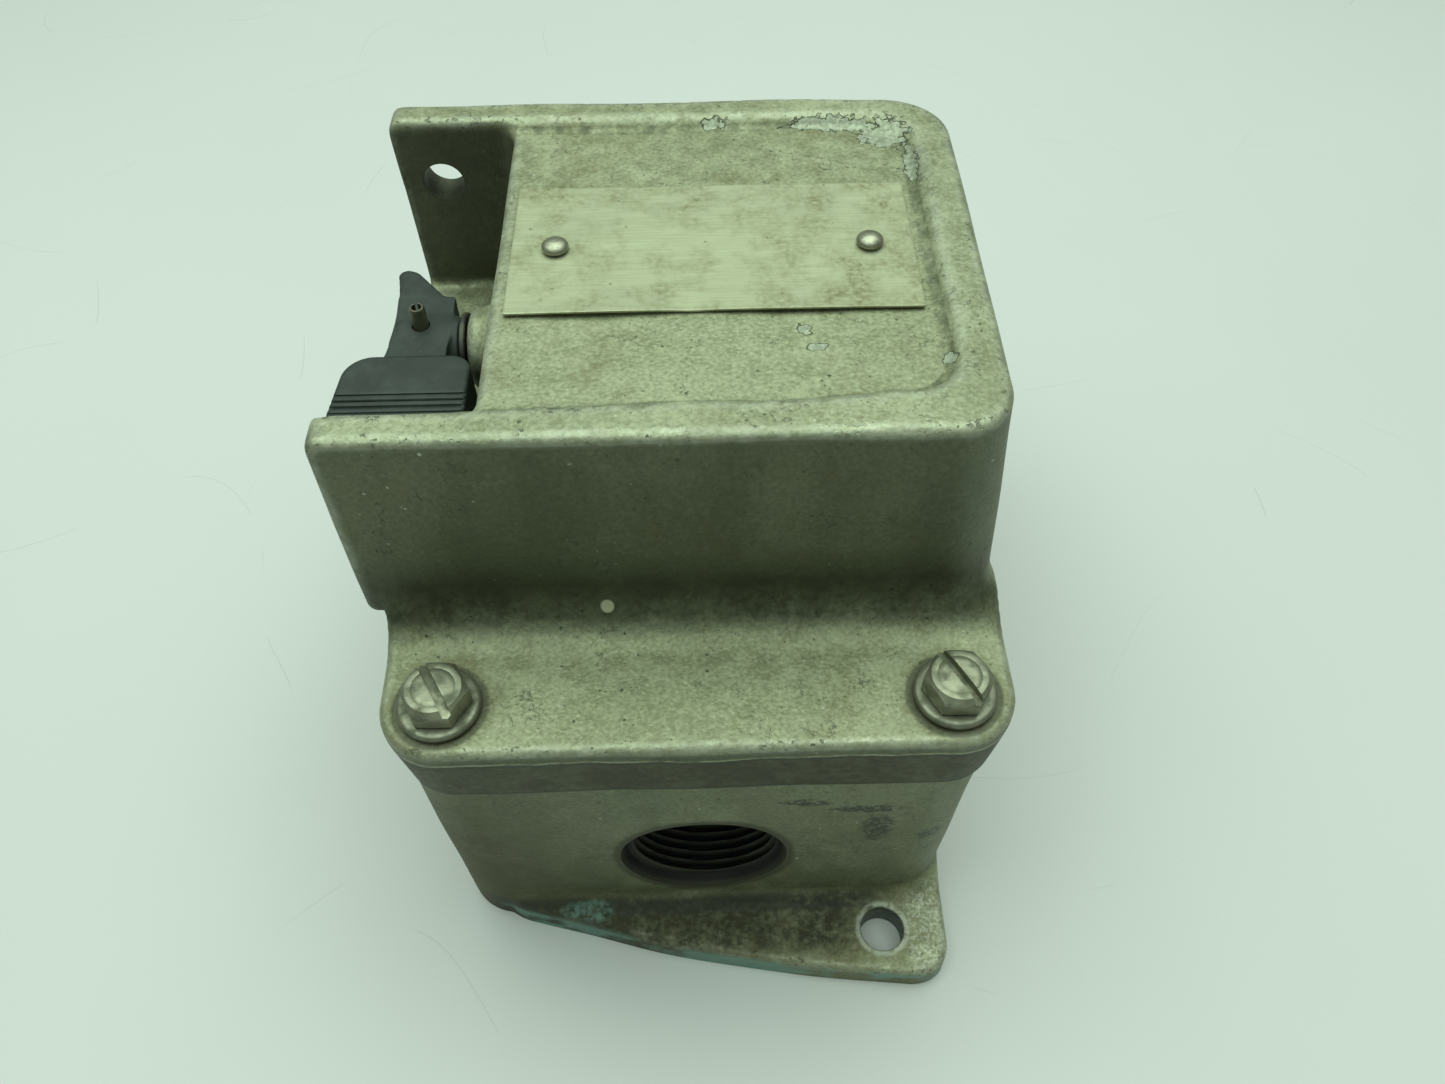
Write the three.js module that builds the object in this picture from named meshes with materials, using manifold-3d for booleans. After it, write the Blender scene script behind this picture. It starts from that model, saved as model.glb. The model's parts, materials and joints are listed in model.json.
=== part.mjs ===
// A manual motor switch in a cast enclosure. Millimetres, +Z up.
// The back of the enclosure lies on z = 0. The wall with the conduit entry faces -Y,
// and the operating lever stands in an open pocket on the -X side of the cover.
import * as THREE from 'three';
import Module from 'manifold-3d';

const wasm = await Module();
wasm.setup();

const DEG = Math.PI / 180;
const GAP = 0.3; // clearance between pieces that touch
const CUT = 1; // how far a cutter runs past the face it opens

// ---------------------------------------------------------------- driving sizes

const BASE = {
  left: -57.2, right: 56.4, halfY: 79.7, height: 68, corner: 11, floor: 6.5,
  footLeft: -56.4, footRight: 54.7, footHalfY: 77.5, footCorner: 10,
};
const CAVITY = { halfX: 45.5, halfY: 63, corner: 9 };
const EAR = {
  thickness: 7, tipY: 98, sideX: 55, corner: 9, holeX: 40.3, holeY: 86.4, holeR: 4.93,
};
const CONDUIT = { z: 32, boreR: 15.9, mouthR: 17.8, chamfer: 2.4 };
const SCREW = {
  x: 47.1, y: 71.2, shankR: 3.1, acrossFlats: 11.1, topR: 5.3, headHeight: 5,
  length: 38, slotWidth: 1.7, slotDepth: 1.7,
};
const WASHER = { outerR: 7.7, thickness: 1.6 };
const FLANGE = {
  halfX: 58.6, halfY: 81.4, corner: 11.5, bottom: BASE.height + GAP, seam: 81.5, top: 85.3,
  draft: 1.1,
};
const DOME = {
  top: 133.1, rightTop: 55, rightFoot: 57.9, middleY: 0.4, halfYTop: 49.9, halfYFoot: 52.4,
  leftTop: -63.6, leftFoot: -62.6, cornerNear: 10.5, cornerFar: 14, ledge: 89.9, wingCorner: 6,
};
const PANEL = { z: 130.6, left: -36.5, right: 47, halfY: 43.2, corner: 8 };
const POCKET = { floor: 90.2, wallFoot: -38.6, halfYFoot: 42.2, corner: 5 };
const ROOF = 6.5; // thickness of the cover over the switch
const SHAFT = { y: -1.5, z: 109, r: 4, bossR: 8, bossEnd: -44.5, outerEnd: -57, innerEnd: -12.8 };
const PADLOCK = { x: -54.2, z: 118, r: 4.54 };
const PLATE = {
  x: 4.7, y: 1.7, length: 76.6, width: 38, thickness: 0.8, rivetX: 29.9, rivetY: 0.9,
};
const LEVER = {
  face: 115.5, neckThickness: 5, gripThickness: 9, hubR: 6.5, tip: 36,
  hubLeft: -58.6, hubRight: -46.2, pinX: -53.7, pinProud: 4,
};
const POLES = [-19, 0, 19]; // middle of each of the three poles along X
const SWITCH = { halfX: 30.5, halfY: 38, bottom: 16.2, deck: 44.2, coverHalfY: 26, coverTop: 82 };
const ROCKER = { below: 20.6, tilt: 22, hubR: 4.5, tail: 12, forkR: 24, slot: 9.6, tine: 3.2 };
const CRANK = { r: 8, pinR: 2, swing: 165 };

// ---------------------------------------------------------------- outlines

// Points of an arc, both ends included; angles in degrees.
function arc(cx, cy, r, from, to, steps) {
  const points = [];
  for (let i = 0; i <= steps; i += 1) {
    const a = (from + ((to - from) * i) / steps) * DEG;
    points.push([cx + r * Math.cos(a), cy + r * Math.sin(a)]);
  }
  return points;
}

function circle(cx, cy, r, steps) {
  return arc(cx, cy, r, 0, 360, steps).slice(0, -1);
}

// Rounded rectangle, counter-clockwise. radii go with the corners low-low, high-low,
// high-high and low-high, or are one number for all four.
function roundedRect(x0, x1, y0, y1, radii, steps = 4) {
  const [a, b, c, d] = Array.isArray(radii) ? radii : [radii, radii, radii, radii];
  return [
    ...arc(x0 + a, y0 + a, a, 180, 270, steps),
    ...arc(x1 - b, y0 + b, b, 270, 360, steps),
    ...arc(x1 - c, y1 - c, c, 0, 90, steps),
    ...arc(x0 + d, y1 - d, d, 90, 180, steps),
  ];
}

// A closed polygon with each corner rounded; corners are [x, y, radius].
function roundedPolygon(corners, steps = 4) {
  const points = [];
  corners.forEach(([x, y, r], i) => {
    if (!r) {
      points.push([x, y]);
      return;
    }
    const here = new THREE.Vector2(x, y);
    const before = new THREE.Vector2(...corners[(i + corners.length - 1) % corners.length]);
    const after = new THREE.Vector2(...corners[(i + 1) % corners.length]);
    const u = before.sub(here).normalize();
    const v = after.sub(here).normalize();
    const half = Math.acos(u.dot(v)) / 2;
    const reach = r / Math.tan(half);
    const centre = u.clone().add(v).normalize().multiplyScalar(r / Math.sin(half)).add(here);
    const start = u.multiplyScalar(reach).add(here).sub(centre);
    const end = v.multiplyScalar(reach).add(here).sub(centre);
    const turn = Math.atan2(start.cross(end), start.dot(end));
    for (let k = 0; k <= steps; k += 1) {
      const p = start.clone().rotateAround(new THREE.Vector2(), (turn * k) / steps).add(centre);
      points.push([p.x, p.y]);
    }
  });
  return points;
}

const turned180 = (points) => points.map(([x, y]) => [-x, -y]);

// ---------------------------------------------------------------- solids

function toManifold(positions, triangles) {
  return new wasm.Manifold(new wasm.Mesh({
    numProp: 3,
    vertProperties: new Float32Array(positions),
    triVerts: new Uint32Array(triangles),
  }));
}

// Skin over a stack of outlines with equal point counts: [[height, points], ...], rising.
// The stack stands along 'z', or along 'x' with points in (y, z), or 'y' in (z, x).
function stack(axis, sections) {
  const count = sections[0][1].length;
  const positions = [];
  const place = {
    z: (u, v, w) => [u, v, w],
    x: (u, v, w) => [w, u, v],
    y: (u, v, w) => [v, w, u],
  }[axis];
  for (const [height, points] of sections) {
    for (const [u, v] of points) {
      positions.push(...place(u, v, height));
    }
  }
  const triangles = [];
  for (let level = 0; level < sections.length - 1; level += 1) {
    for (let i = 0; i < count; i += 1) {
      const a = level * count + i;
      const b = level * count + ((i + 1) % count);
      triangles.push(a, b, b + count, a, b + count, a + count);
    }
  }
  const asVectors = (points) => points.map(([u, v]) => new THREE.Vector2(u, v));
  const last = (sections.length - 1) * count;
  for (const [a, b, c] of THREE.ShapeUtils.triangulateShape(asVectors(sections[0][1]), [])) {
    triangles.push(a, c, b);
  }
  const top = sections[sections.length - 1][1];
  for (const [a, b, c] of THREE.ShapeUtils.triangulateShape(asVectors(top), [])) {
    triangles.push(last + a, last + b, last + c);
  }
  return toManifold(positions, triangles);
}

const prism = (axis, from, to, points) => stack(axis, [[from, points], [to, points]]);

function box(x0, x1, y0, y1, z0, z1) {
  return prism('z', z0, z1, [[x0, y0], [x1, y0], [x1, y1], [x0, y1]]);
}

function rod(axis, r, from, to, u, v, steps = 20) {
  return prism(axis, from, to, circle(u, v, r, steps));
}

// A ring or tube.
function ring(axis, outerR, innerR, from, to, u, v, steps = 20) {
  const hole = rod(axis, innerR, from - CUT, to + CUT, u, v, steps);
  return rod(axis, outerR, from, to, u, v, steps).subtract(hole);
}

const join = (solids) => solids.reduce((whole, piece) => whole.add(piece));
const cut = (solid, cutters) => cutters.reduce((whole, tool) => whole.subtract(tool), solid);

// ---------------------------------------------------------------- scene

const part = new THREE.Group();
part.name = 'manual_motor_switch';

const FINISH = {
  cast: { color: 0x9a9d8c, roughness: 0.55, metalness: 0.55 },
  steel: { color: 0xa9a797, roughness: 0.35, metalness: 0.9 },
  dark_steel: { color: 0x4a4a46, roughness: 0.45, metalness: 0.8 },
  brass: { color: 0xb08a3e, roughness: 0.35, metalness: 0.9 },
  plate: { color: 0xa7a896, roughness: 0.4, metalness: 0.7 },
  lever: { color: 0x30352f, roughness: 0.5, metalness: 0 },
  phenolic: { color: 0x1d1c1a, roughness: 0.45, metalness: 0 },
};

function addMesh(name, finish, manifold) {
  const { vertProperties, triVerts } = manifold.getMesh();
  const geometry = new THREE.BufferGeometry();
  geometry.setAttribute('position', new THREE.BufferAttribute(vertProperties, 3));
  geometry.setIndex(new THREE.BufferAttribute(triVerts, 1));
  geometry.computeVertexNormals();
  const mesh = new THREE.Mesh(geometry, new THREE.MeshStandardMaterial(FINISH[finish]));
  mesh.name = name;
  part.add(mesh);
}

const CORNERS = [
  { name: 'near_left', x: -SCREW.x, y: -SCREW.y, slot: 119 },
  { name: 'near_right', x: SCREW.x, y: -SCREW.y, slot: 118 },
  { name: 'far_right', x: SCREW.x, y: SCREW.y, slot: 20 },
  { name: 'far_left', x: -SCREW.x, y: SCREW.y, slot: 70 },
];
const STRAP_Y = 47; // where the switch is screwed to the floor, either side of the middle
const GROUND = { x: 32, y: -52, top: 12 };
const PAD_TOP = 14;

// ---------------------------------------------------------------- enclosure base

function earOutline() {
  return roundedPolygon([
    [-51.5, -60, 0],
    [-51.5, -76.8, 4],
    [24, -EAR.tipY, 30],
    [EAR.sideX, -EAR.tipY, EAR.corner],
    [EAR.sideX, -60, 0],
  ]);
}

// Tapped hole through the end wall; toward is -1 for the near wall and 1 for the far one.
function conduitBore(toward) {
  const face = (BASE.halfY + BASE.footHalfY) / 2;
  const sections = [
    [CAVITY.halfY - CUT, CONDUIT.boreR],
    [face - CONDUIT.chamfer, CONDUIT.boreR],
    [face, CONDUIT.mouthR],
    [face + 3, CONDUIT.mouthR],
  ].map(([y, r]) => [toward * y, circle(CONDUIT.z, 0, r, 32)]);
  return stack('y', toward < 0 ? sections.reverse() : sections);
}

function enclosureBase() {
  const block = stack('z', [
    [0, roundedRect(BASE.footLeft, BASE.footRight, -BASE.footHalfY, BASE.footHalfY,
      BASE.footCorner)],
    [BASE.height, roundedRect(BASE.left, BASE.right, -BASE.halfY, BASE.halfY, BASE.corner)],
  ]);
  const ears = [earOutline(), turned180(earOutline())].map(
    (outline) => prism('z', 0, EAR.thickness, outline),
  );
  const cavity = prism('z', BASE.floor, BASE.height + CUT, roundedRect(
    -CAVITY.halfX, CAVITY.halfX, -CAVITY.halfY, CAVITY.halfY, CAVITY.corner));
  const shell = join([block, ...ears]).subtract(cavity);
  const inFloor = BASE.floor - CUT;
  const pads = [
    rod('z', 6, inFloor, PAD_TOP, 0, -STRAP_Y),
    rod('z', 6, inFloor, PAD_TOP, 0, STRAP_Y),
    rod('z', 5, inFloor, GROUND.top, GROUND.x, GROUND.y),
  ];
  const holes = CORNERS.map(({ x, y }) => rod(
    'z', SCREW.shankR + GAP, BASE.height - 25, BASE.height + CUT, x, y, 14));
  holes.push(
    conduitBore(-1),
    conduitBore(1),
    rod('z', EAR.holeR, -CUT, EAR.thickness + CUT, EAR.holeX, -EAR.holeY, 24),
    rod('z', EAR.holeR, -CUT, EAR.thickness + CUT, -EAR.holeX, EAR.holeY, 24),
    rod('z', 2.3, 7.5, PAD_TOP + CUT, 0, -STRAP_Y, 12),
    rod('z', 2.3, 7.5, PAD_TOP + CUT, 0, STRAP_Y, 12),
    rod('z', 2.7, 5, GROUND.top + CUT, GROUND.x, GROUND.y, 12),
  );
  return cut(join([shell, ...pads]), holes);
}

// Recessed plug with a square socket, screwed into the far conduit entry.
function conduitPlug() {
  const outer = BASE.halfY - 6;
  const body = rod('y', CONDUIT.boreR - GAP, CAVITY.halfY + 1, outer, CONDUIT.z, 0, 32);
  const socket = prism('y', outer - 8, outer + CUT, roundedRect(
    CONDUIT.z - 6.5, CONDUIT.z + 6.5, -6.5, 6.5, 1, 2));
  return body.subtract(socket);
}

// ---------------------------------------------------------------- enclosure cover

// The flange is widest at its parting seam and narrows by its draft down to the joint.
function flangeBlock() {
  const rim = 2;
  const at = (z, inset) => [z, roundedRect(-FLANGE.halfX + inset, FLANGE.halfX - inset,
    -FLANGE.halfY + inset, FLANGE.halfY - inset, FLANGE.corner - inset)];
  return stack('z', [
    at(FLANGE.bottom, FLANGE.draft), at(FLANGE.seam, 0), at(FLANGE.top - rim, 0),
    at(FLANGE.top - rim * 0.3, rim * 0.3), at(FLANGE.top, rim),
  ]);
}

// Dome and guard walls as one drafted block, before the pocket is cut.
function domeBlock() {
  const foot = 80;
  const tipR = 3;
  const at = (z, inset) => {
    const t = (z - FLANGE.top) / (DOME.top - FLANGE.top);
    const right = THREE.MathUtils.lerp(DOME.rightFoot, DOME.rightTop, t) - inset;
    const halfY = THREE.MathUtils.lerp(DOME.halfYFoot, DOME.halfYTop, t) - inset;
    const left = THREE.MathUtils.lerp(DOME.leftFoot, DOME.leftTop, t) + inset;
    return [z, roundedRect(left, right, DOME.middleY - halfY, DOME.middleY + halfY,
      [tipR, DOME.cornerNear, DOME.cornerFar, tipR], 5)];
  };
  const rim = 2;
  const drafted = stack('z', [
    at(foot, 0), at(DOME.top - rim, 0), at(DOME.top - rim * 0.3, rim * 0.3), at(DOME.top, rim),
  ]);
  const sideOn = roundedPolygon([
    [foot - CUT, FLANGE.halfX, 0],
    [foot - CUT, -FLANGE.halfX, 0],
    [DOME.ledge, -FLANGE.halfX, 0],
    [DOME.ledge, DOME.leftFoot - 0.5, 1],
    [DOME.top, DOME.leftTop, DOME.wingCorner],
    [DOME.top + CUT, FLANGE.halfX, 0],
  ]);
  return drafted.intersect(prism('y', -70, 70, sideOn));
}

function leverPocket() {
  const far = -80;
  const at = (z, right, halfY) => [z, roundedRect(far, right, -halfY, halfY,
    [0.01, POCKET.corner, POCKET.corner, 0.01])];
  return stack('z', [
    at(POCKET.floor, POCKET.wallFoot, POCKET.halfYFoot),
    at(PANEL.z, PANEL.left, PANEL.halfY),
    at(DOME.top + CUT, PANEL.left, PANEL.halfY),
  ]);
}

function coverCavity() {
  const step = 78;
  const lower = prism('z', FLANGE.bottom - CUT, step, roundedRect(
    -CAVITY.halfX, CAVITY.halfX, -CAVITY.halfY, CAVITY.halfY, CAVITY.corner));
  const upper = stack('z', [
    [step - CUT, roundedRect(-32, 49, -44, 44, 5)],
    [PANEL.z - ROOF, roundedRect(-30, 46.5, -42, 42, 5)],
  ]);
  return lower.add(upper);
}

function enclosureCover() {
  const boss = rod('x', SHAFT.bossR, SHAFT.bossEnd, -21, SHAFT.y, SHAFT.z, 24);
  const recess = prism('z', PANEL.z, DOME.top + CUT, roundedRect(
    PANEL.left - 4, PANEL.right, -PANEL.halfY, PANEL.halfY,
    [0.01, PANEL.corner, PANEL.corner, 0.01], 5));
  const outside = join([flangeBlock(), domeBlock()]).subtract(leverPocket()).subtract(recess);
  const body = outside.subtract(coverCavity()).add(boss);
  const rivetHole = (x) => rod('z', 1.3 + GAP, 127, PANEL.z + CUT, x, PLATE.rivetY, 10);
  return cut(body, [
    rod('x', 6 + GAP, SHAFT.bossEnd - CUT, -20, SHAFT.y, SHAFT.z, 20),
    rod('y', PADLOCK.r, 40, 56, PADLOCK.z, PADLOCK.x, 24),
    rivetHole(PLATE.x - PLATE.rivetX),
    rivetHole(PLATE.x + PLATE.rivetX),
    ...CORNERS.map(({ x, y }) => rod(
      'z', SCREW.shankR + 0.5, FLANGE.bottom - CUT, FLANGE.top + CUT, x, y, 14)),
  ]);
}

// ---------------------------------------------------------------- cover fasteners

function coverScrew({ x, y, slot }) {
  const seat = FLANGE.top + WASHER.thickness + 2 * GAP;
  const top = seat + SCREW.headHeight;
  const hexR = SCREW.acrossFlats / 2 / Math.cos(30 * DEG);
  const turn = slot * DEG;
  const hexagon = circle(0, 0, hexR, 6).map(([u, v]) => [
    x + u * Math.cos(turn) - v * Math.sin(turn),
    y + u * Math.sin(turn) + v * Math.cos(turn),
  ]);
  const flare = (z, r) => [z, circle(x, y, r, 24)];
  const chamfered = stack('z', [
    flare(seat, hexR + 1), flare(top - 1.1, hexR + 0.1), flare(top, SCREW.topR),
  ]);
  const head = prism('z', seat, top, hexagon).intersect(chamfered);
  const shank = rod('z', SCREW.shankR, seat - SCREW.length, seat + CUT, x, y, 14);
  const along = [Math.cos(turn), Math.sin(turn)];
  const reach = 9;
  const half = SCREW.slotWidth / 2;
  const slotOutline = [[-reach, -half], [reach, -half], [reach, half], [-reach, half]].map(
    ([u, v]) => [x + u * along[0] - v * along[1], y + u * along[1] + v * along[0]],
  );
  const slotCut = prism('z', top - SCREW.slotDepth, top + CUT, slotOutline);
  return head.add(shank).subtract(slotCut);
}

function coverWasher({ x, y }) {
  const z = FLANGE.top + GAP;
  return ring('z', WASHER.outerR, SCREW.shankR + 0.4, z, z + WASHER.thickness, x, y, 28);
}

// ---------------------------------------------------------------- nameplate

function nameplate() {
  const z = PANEL.z + GAP;
  const plate = prism('z', z, z + PLATE.thickness, roundedRect(
    PLATE.x - PLATE.length / 2, PLATE.x + PLATE.length / 2,
    PLATE.y - PLATE.width / 2, PLATE.y + PLATE.width / 2, 0.8, 2));
  return cut(plate, [-1, 1].map((side) => rod(
    'z', 1.3 + GAP, z - CUT, z + 2 * CUT, PLATE.x + side * PLATE.rivetX, PLATE.rivetY, 12)));
}

function nameplateRivet(side) {
  const seat = PANEL.z + PLATE.thickness + 2 * GAP;
  const x = PLATE.x + side * PLATE.rivetX;
  const at = (z, r) => [z, circle(x, PLATE.rivetY, r, 16)];
  const head = stack('z', [at(seat, 2.6), at(seat + 0.9, 2.2), at(seat + 1.6, 1.1)]);
  return head.add(rod('z', 1.3, 127.4, seat + 0.5, x, PLATE.rivetY, 12));
}

// ---------------------------------------------------------------- operator

// Outline of the lever's face in (x, y), measured from the shaft; the grip points to -Y.
function leverOutline() {
  const tip = -LEVER.tip;
  return roundedPolygon([
    [-60, 15.4, 1],
    [-60, 5, 8],
    [-60.6, -9, 3],
    [-66, -9.6, 4],
    [-68.2, tip, 6],
    [-42.6, tip, 3],
    [-42.6, -9, 4],
    [-48.2, -9, 1],
    [-47.6, 8.4, 0.5],
    [-50.4, 8.4, 0.5],
    [-53, 16.8, 3],
  ]).map(([x, y]) => [x, y + SHAFT.y]);
}

function operatingLever() {
  const { face } = LEVER;
  const plate = prism('z', face - LEVER.neckThickness, face, leverOutline());
  const grip = prism('z', face - LEVER.gripThickness, face, roundedRect(
    -66.4, -43.2, -LEVER.tip + SHAFT.y + 0.5, -13 + SHAFT.y, [5, 3, 3, 3]));
  const hub = rod('x', LEVER.hubR, LEVER.hubLeft, LEVER.hubRight, SHAFT.y, SHAFT.z, 20);
  const grooves = [0, 1, 2, 3].map((i) => {
    const y = SHAFT.y - 19.5 - i * 1.7;
    return box(-72, -40, y - 0.3, y + 0.3, face - 0.5, face + CUT);
  });
  return cut(join([plate, grip, hub]), [
    rod('x', SHAFT.r + GAP, SHAFT.outerEnd - GAP, -40, SHAFT.y, SHAFT.z, 20),
    rod('z', 1.6 + GAP, 95, face + CUT, LEVER.pinX, SHAFT.y, 12),
    ...grooves,
  ]);
}

function leverPin() {
  const bottom = SHAFT.z - LEVER.hubR + 0.5;
  const top = LEVER.face + LEVER.pinProud;
  return ring('z', 1.6, 0.85, bottom, top, LEVER.pinX, SHAFT.y, 14);
}

function operatingShaft() {
  const { r, outerEnd, innerEnd } = SHAFT;
  const bar = rod('x', r, outerEnd, innerEnd, SHAFT.y, SHAFT.z, 20);
  const pinHole = rod('z', 1.6 + GAP, 95, 125, LEVER.pinX, SHAFT.y, 12);
  const groove = ring('x', r + CUT, 3.3, -20.1, -19, SHAFT.y, SHAFT.z, 20);
  return bar.subtract(pinHole).subtract(groove);
}

// Direction of the crank, measured from straight down towards +Y; it starts at +Y.
const CRANK_REST = (CRANK.swing / 2) * DEG;

function crankPinCentre() {
  return [
    SHAFT.y + CRANK.r * Math.sin(CRANK_REST),
    SHAFT.z - CRANK.r * Math.cos(CRANK_REST),
  ];
}

function crankArm() {
  const [y, z] = crankPinCentre();
  const [from, to] = [-18.2, -13.2];
  const hub = rod('x', 7, from, to, SHAFT.y, SHAFT.z, 20);
  const eye = rod('x', 4, from, to, y, z, 20);
  return cut(hub.add(eye), [
    rod('x', SHAFT.r + GAP, from - CUT, -12.8 + GAP, SHAFT.y, SHAFT.z, 20),
    rod('x', 1.5 + GAP, from - CUT, to + CUT, y, z, 12),
  ]);
}

function crankPin() {
  const [y, z] = crankPinCentre();
  const stud = rod('x', 1.5, -18, -12.5, y, z, 12);
  return stud.add(rod('x', CRANK.pinR, -12.9, -4.5, y, z, 12));
}

// ---------------------------------------------------------------- switch mechanism

const PIVOT_Z = SHAFT.z - ROCKER.below;

// Turns a point given from the rocker's pivot, with v up its arm, to its tilted place.
function onRocker([u, v]) {
  const tilt = ROCKER.tilt * DEG;
  return [
    SHAFT.y + u * Math.cos(tilt) + v * Math.sin(tilt),
    PIVOT_Z - u * Math.sin(tilt) + v * Math.cos(tilt),
  ];
}

function rocker() {
  const slab = (x0, x1, u0, u1, v0, v1) => prism(
    'x', x0, x1, [[u0, v0], [u1, v0], [u1, v1], [u0, v1]].map(onRocker));
  const half = ROCKER.slot / 2;
  const outer = half + ROCKER.tine;
  return join([
    rod('x', ROCKER.hubR, -10.5, 10.5, SHAFT.y, PIVOT_Z, 20),
    slab(-10, -4, -outer, outer, 3, 8),
    slab(-10, -4, -outer, -half, 7, ROCKER.forkR),
    slab(-10, -4, half, outer, 7, ROCKER.forkR),
    slab(-3, 3, -1.6, 1.6, -ROCKER.tail - 1.5, -3),
  ]).subtract(rod('x', 1.5 + GAP, -12, 12, SHAFT.y, PIVOT_Z, 14));
}

function switchBase() {
  const { halfX, halfY, bottom, deck } = SWITCH;
  const block = prism('z', bottom, deck, roundedRect(-halfX, halfX, -halfY, halfY, 3, 3));
  const barriers = POLES.slice(0, 2).flatMap((pole) => [-1, 1].map((side) => {
    const x = pole + 9.5 + side * 6.3;
    const near = side * 28;
    const far = side * (halfY - 0.5);
    return box(x - 1, x + 1, Math.min(near, far), Math.max(near, far), deck - CUT, deck + 8);
  }));
  const screwHoles = terminals().map(({ x, y }) => rod('z', 2.3, 34, deck + CUT, x, y, 12));
  const strapScrews = [-1, 1].map((side) => box(
    -6, 6, Math.min(side * 42, side * 60), Math.max(side * 42, side * 60), 0, 60));
  return cut(join([block, ...barriers]), [...screwHoles, ...strapScrews]);
}

function switchCover() {
  const { halfX, coverHalfY, deck, coverTop } = SWITCH;
  const foot = deck + GAP;
  const shell = prism('z', foot, coverTop, roundedRect(
    -halfX, halfX, -coverHalfY, coverHalfY, 3, 3));
  const hollow = box(-28.5, 28.5, -coverHalfY + 2.5, coverHalfY - 2.5, foot - CUT, coverTop - 4);
  const strips = box(-28, 28, -40, 40, foot - CUT, foot + 2.2);
  const slot = box(-4, 4, SHAFT.y - 7.5, SHAFT.y + 7.5, coverTop - 6, coverTop + CUT);
  const lug = (x) => prism('x', x, x + 3, roundedRect(
    SHAFT.y - 5, SHAFT.y + 5, coverTop - CUT, PIVOT_Z + 4.5, [0.01, 0.01, 4, 4]));
  const body = cut(shell, [hollow, strips, slot]);
  return join([body, lug(-14), lug(11)]).subtract(
    rod('x', 1.5 + GAP, -20, 20, SHAFT.y, PIVOT_Z, 14));
}

// The carrier hangs under the switch cover and starts pushed towards -Y.
const CARRIER_Y = SHAFT.y - ROCKER.tail * Math.sin(ROCKER.tilt * DEG);
const CONTACT = { barY: -10.65, barThickness: 1.5, tipY: -11.1, halfX: 8, z0: 52.4, z1: 57.6 };

function contactCarrier() {
  const beam = box(-26, 26, CARRIER_Y - 4.6, CARRIER_Y + 4.6, 66, 76.6);
  const tailSlot = box(-3.5, 3.5, CARRIER_Y - 2.4, CARRIER_Y + 2.4, 68, 80);
  const cages = POLES.map((x) => box(x - 4, x + 4, -12, -2, 50, 67).subtract(
    box(x - 5, x + 5, -10.95, -4, 52, 58)));
  return join([beam.subtract(tailSlot), ...cages]);
}

function movingContact(pole) {
  const { barY, barThickness, halfX, z0, z1 } = CONTACT;
  return box(pole - halfX, pole + halfX, barY, barY + barThickness, z0, z1);
}

// Open coil along Y between the moving contact and its cage.
function contactSpring(pole) {
  const [from, to, r, wire, turns] = [-8.75, -4.4, 1.9, 0.35, 3];
  const z = (CONTACT.z0 + CONTACT.z1) / 2;
  const steps = turns * 8;
  const path = [];
  for (let i = 0; i <= steps; i += 1) {
    const a = (i / 8) * 2 * Math.PI;
    const y = THREE.MathUtils.lerp(from + wire, to - wire, i / steps);
    path.push(new THREE.Vector3(pole + r * Math.cos(a), y, z + r * Math.sin(a)));
  }
  const circleShape = new THREE.Shape(circle(0, 0, wire, 4).map(([u, v]) => new THREE.Vector2(u, v)));
  const geometry = new THREE.ExtrudeGeometry(circleShape, {
    steps, bevelEnabled: false, extrudePath: new THREE.CatmullRomCurve3(path),
  });
  return fromGeometry(geometry);
}

function fromGeometry(geometry) {
  const found = new Map();
  const positions = [];
  const triangles = [];
  const source = geometry.attributes.position;
  const order = geometry.index ? Array.from(geometry.index.array) : [...Array(source.count).keys()];
  for (const i of order) {
    const point = [source.getX(i), source.getY(i), source.getZ(i)];
    const key = point.map((value) => value.toFixed(4)).join(' ');
    if (!found.has(key)) {
      found.set(key, positions.length / 3);
      positions.push(...point);
    }
    triangles.push(found.get(key));
  }
  const kept = [];
  for (let i = 0; i < triangles.length; i += 3) {
    const [a, b, c] = triangles.slice(i, i + 3);
    if (a !== b && b !== c && c !== a) {
      kept.push(a, b, c);
    }
  }
  return toManifold(positions, kept);
}

// Terminal places: the line side at -Y and the load side at +Y of each pole.
function terminals() {
  return POLES.flatMap((pole, i) => [
    { name: `line_${i + 1}`, x: pole - 6.3, y: -33, toward: -1 },
    { name: `load_${i + 1}`, x: pole + 6.3, y: 33, toward: 1 },
  ]);
}

// L-shaped strip from the terminal screw to an upright contact face.
function terminalStrip({ x, y, toward }) {
  const z = SWITCH.deck + GAP;
  const thickness = 1.5;
  const tip = CONTACT.tipY;
  const back = tip - thickness;
  const end = y + toward * 4;
  const foot = box(x - 1.6, x + 1.6, Math.min(back, end), Math.max(tip, end), z, z + thickness);
  const pad = box(x - 3.5, x + 3.5, y - 4, y + 4, z, z + thickness);
  const upright = box(x - 1.6, x + 1.6, back, tip, z, CONTACT.z1);
  return join([foot, pad, upright]).subtract(rod('z', 2 + GAP, z - CUT, z + 3, x, y, 12));
}

function panHeadScrew(x, y, seat, shankR, headR, length) {
  const head = stack('z', [
    [seat, circle(x, y, headR, 16)],
    [seat + 1.4, circle(x, y, headR, 16)],
    [seat + 2.2, circle(x, y, headR * 0.7, 16)],
  ]);
  const shank = rod('z', shankR, seat - length, seat + 0.5, x, y, 12);
  const slot = box(x - headR - 1, x + headR + 1, y - 0.5, y + 0.5, seat + 1, seat + 3);
  return head.add(shank).subtract(slot);
}

function mountingStrap() {
  const z = PAD_TOP + GAP;
  const strap = prism('z', z, z + 1.6, roundedRect(-9, 9, -52.5, 52.5, 4, 3));
  return cut(strap, [-1, 1].map((side) => rod('z', 2.3, z - CUT, z + 3, 0, side * STRAP_Y, 12)));
}

// ---------------------------------------------------------------- assembly

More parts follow.
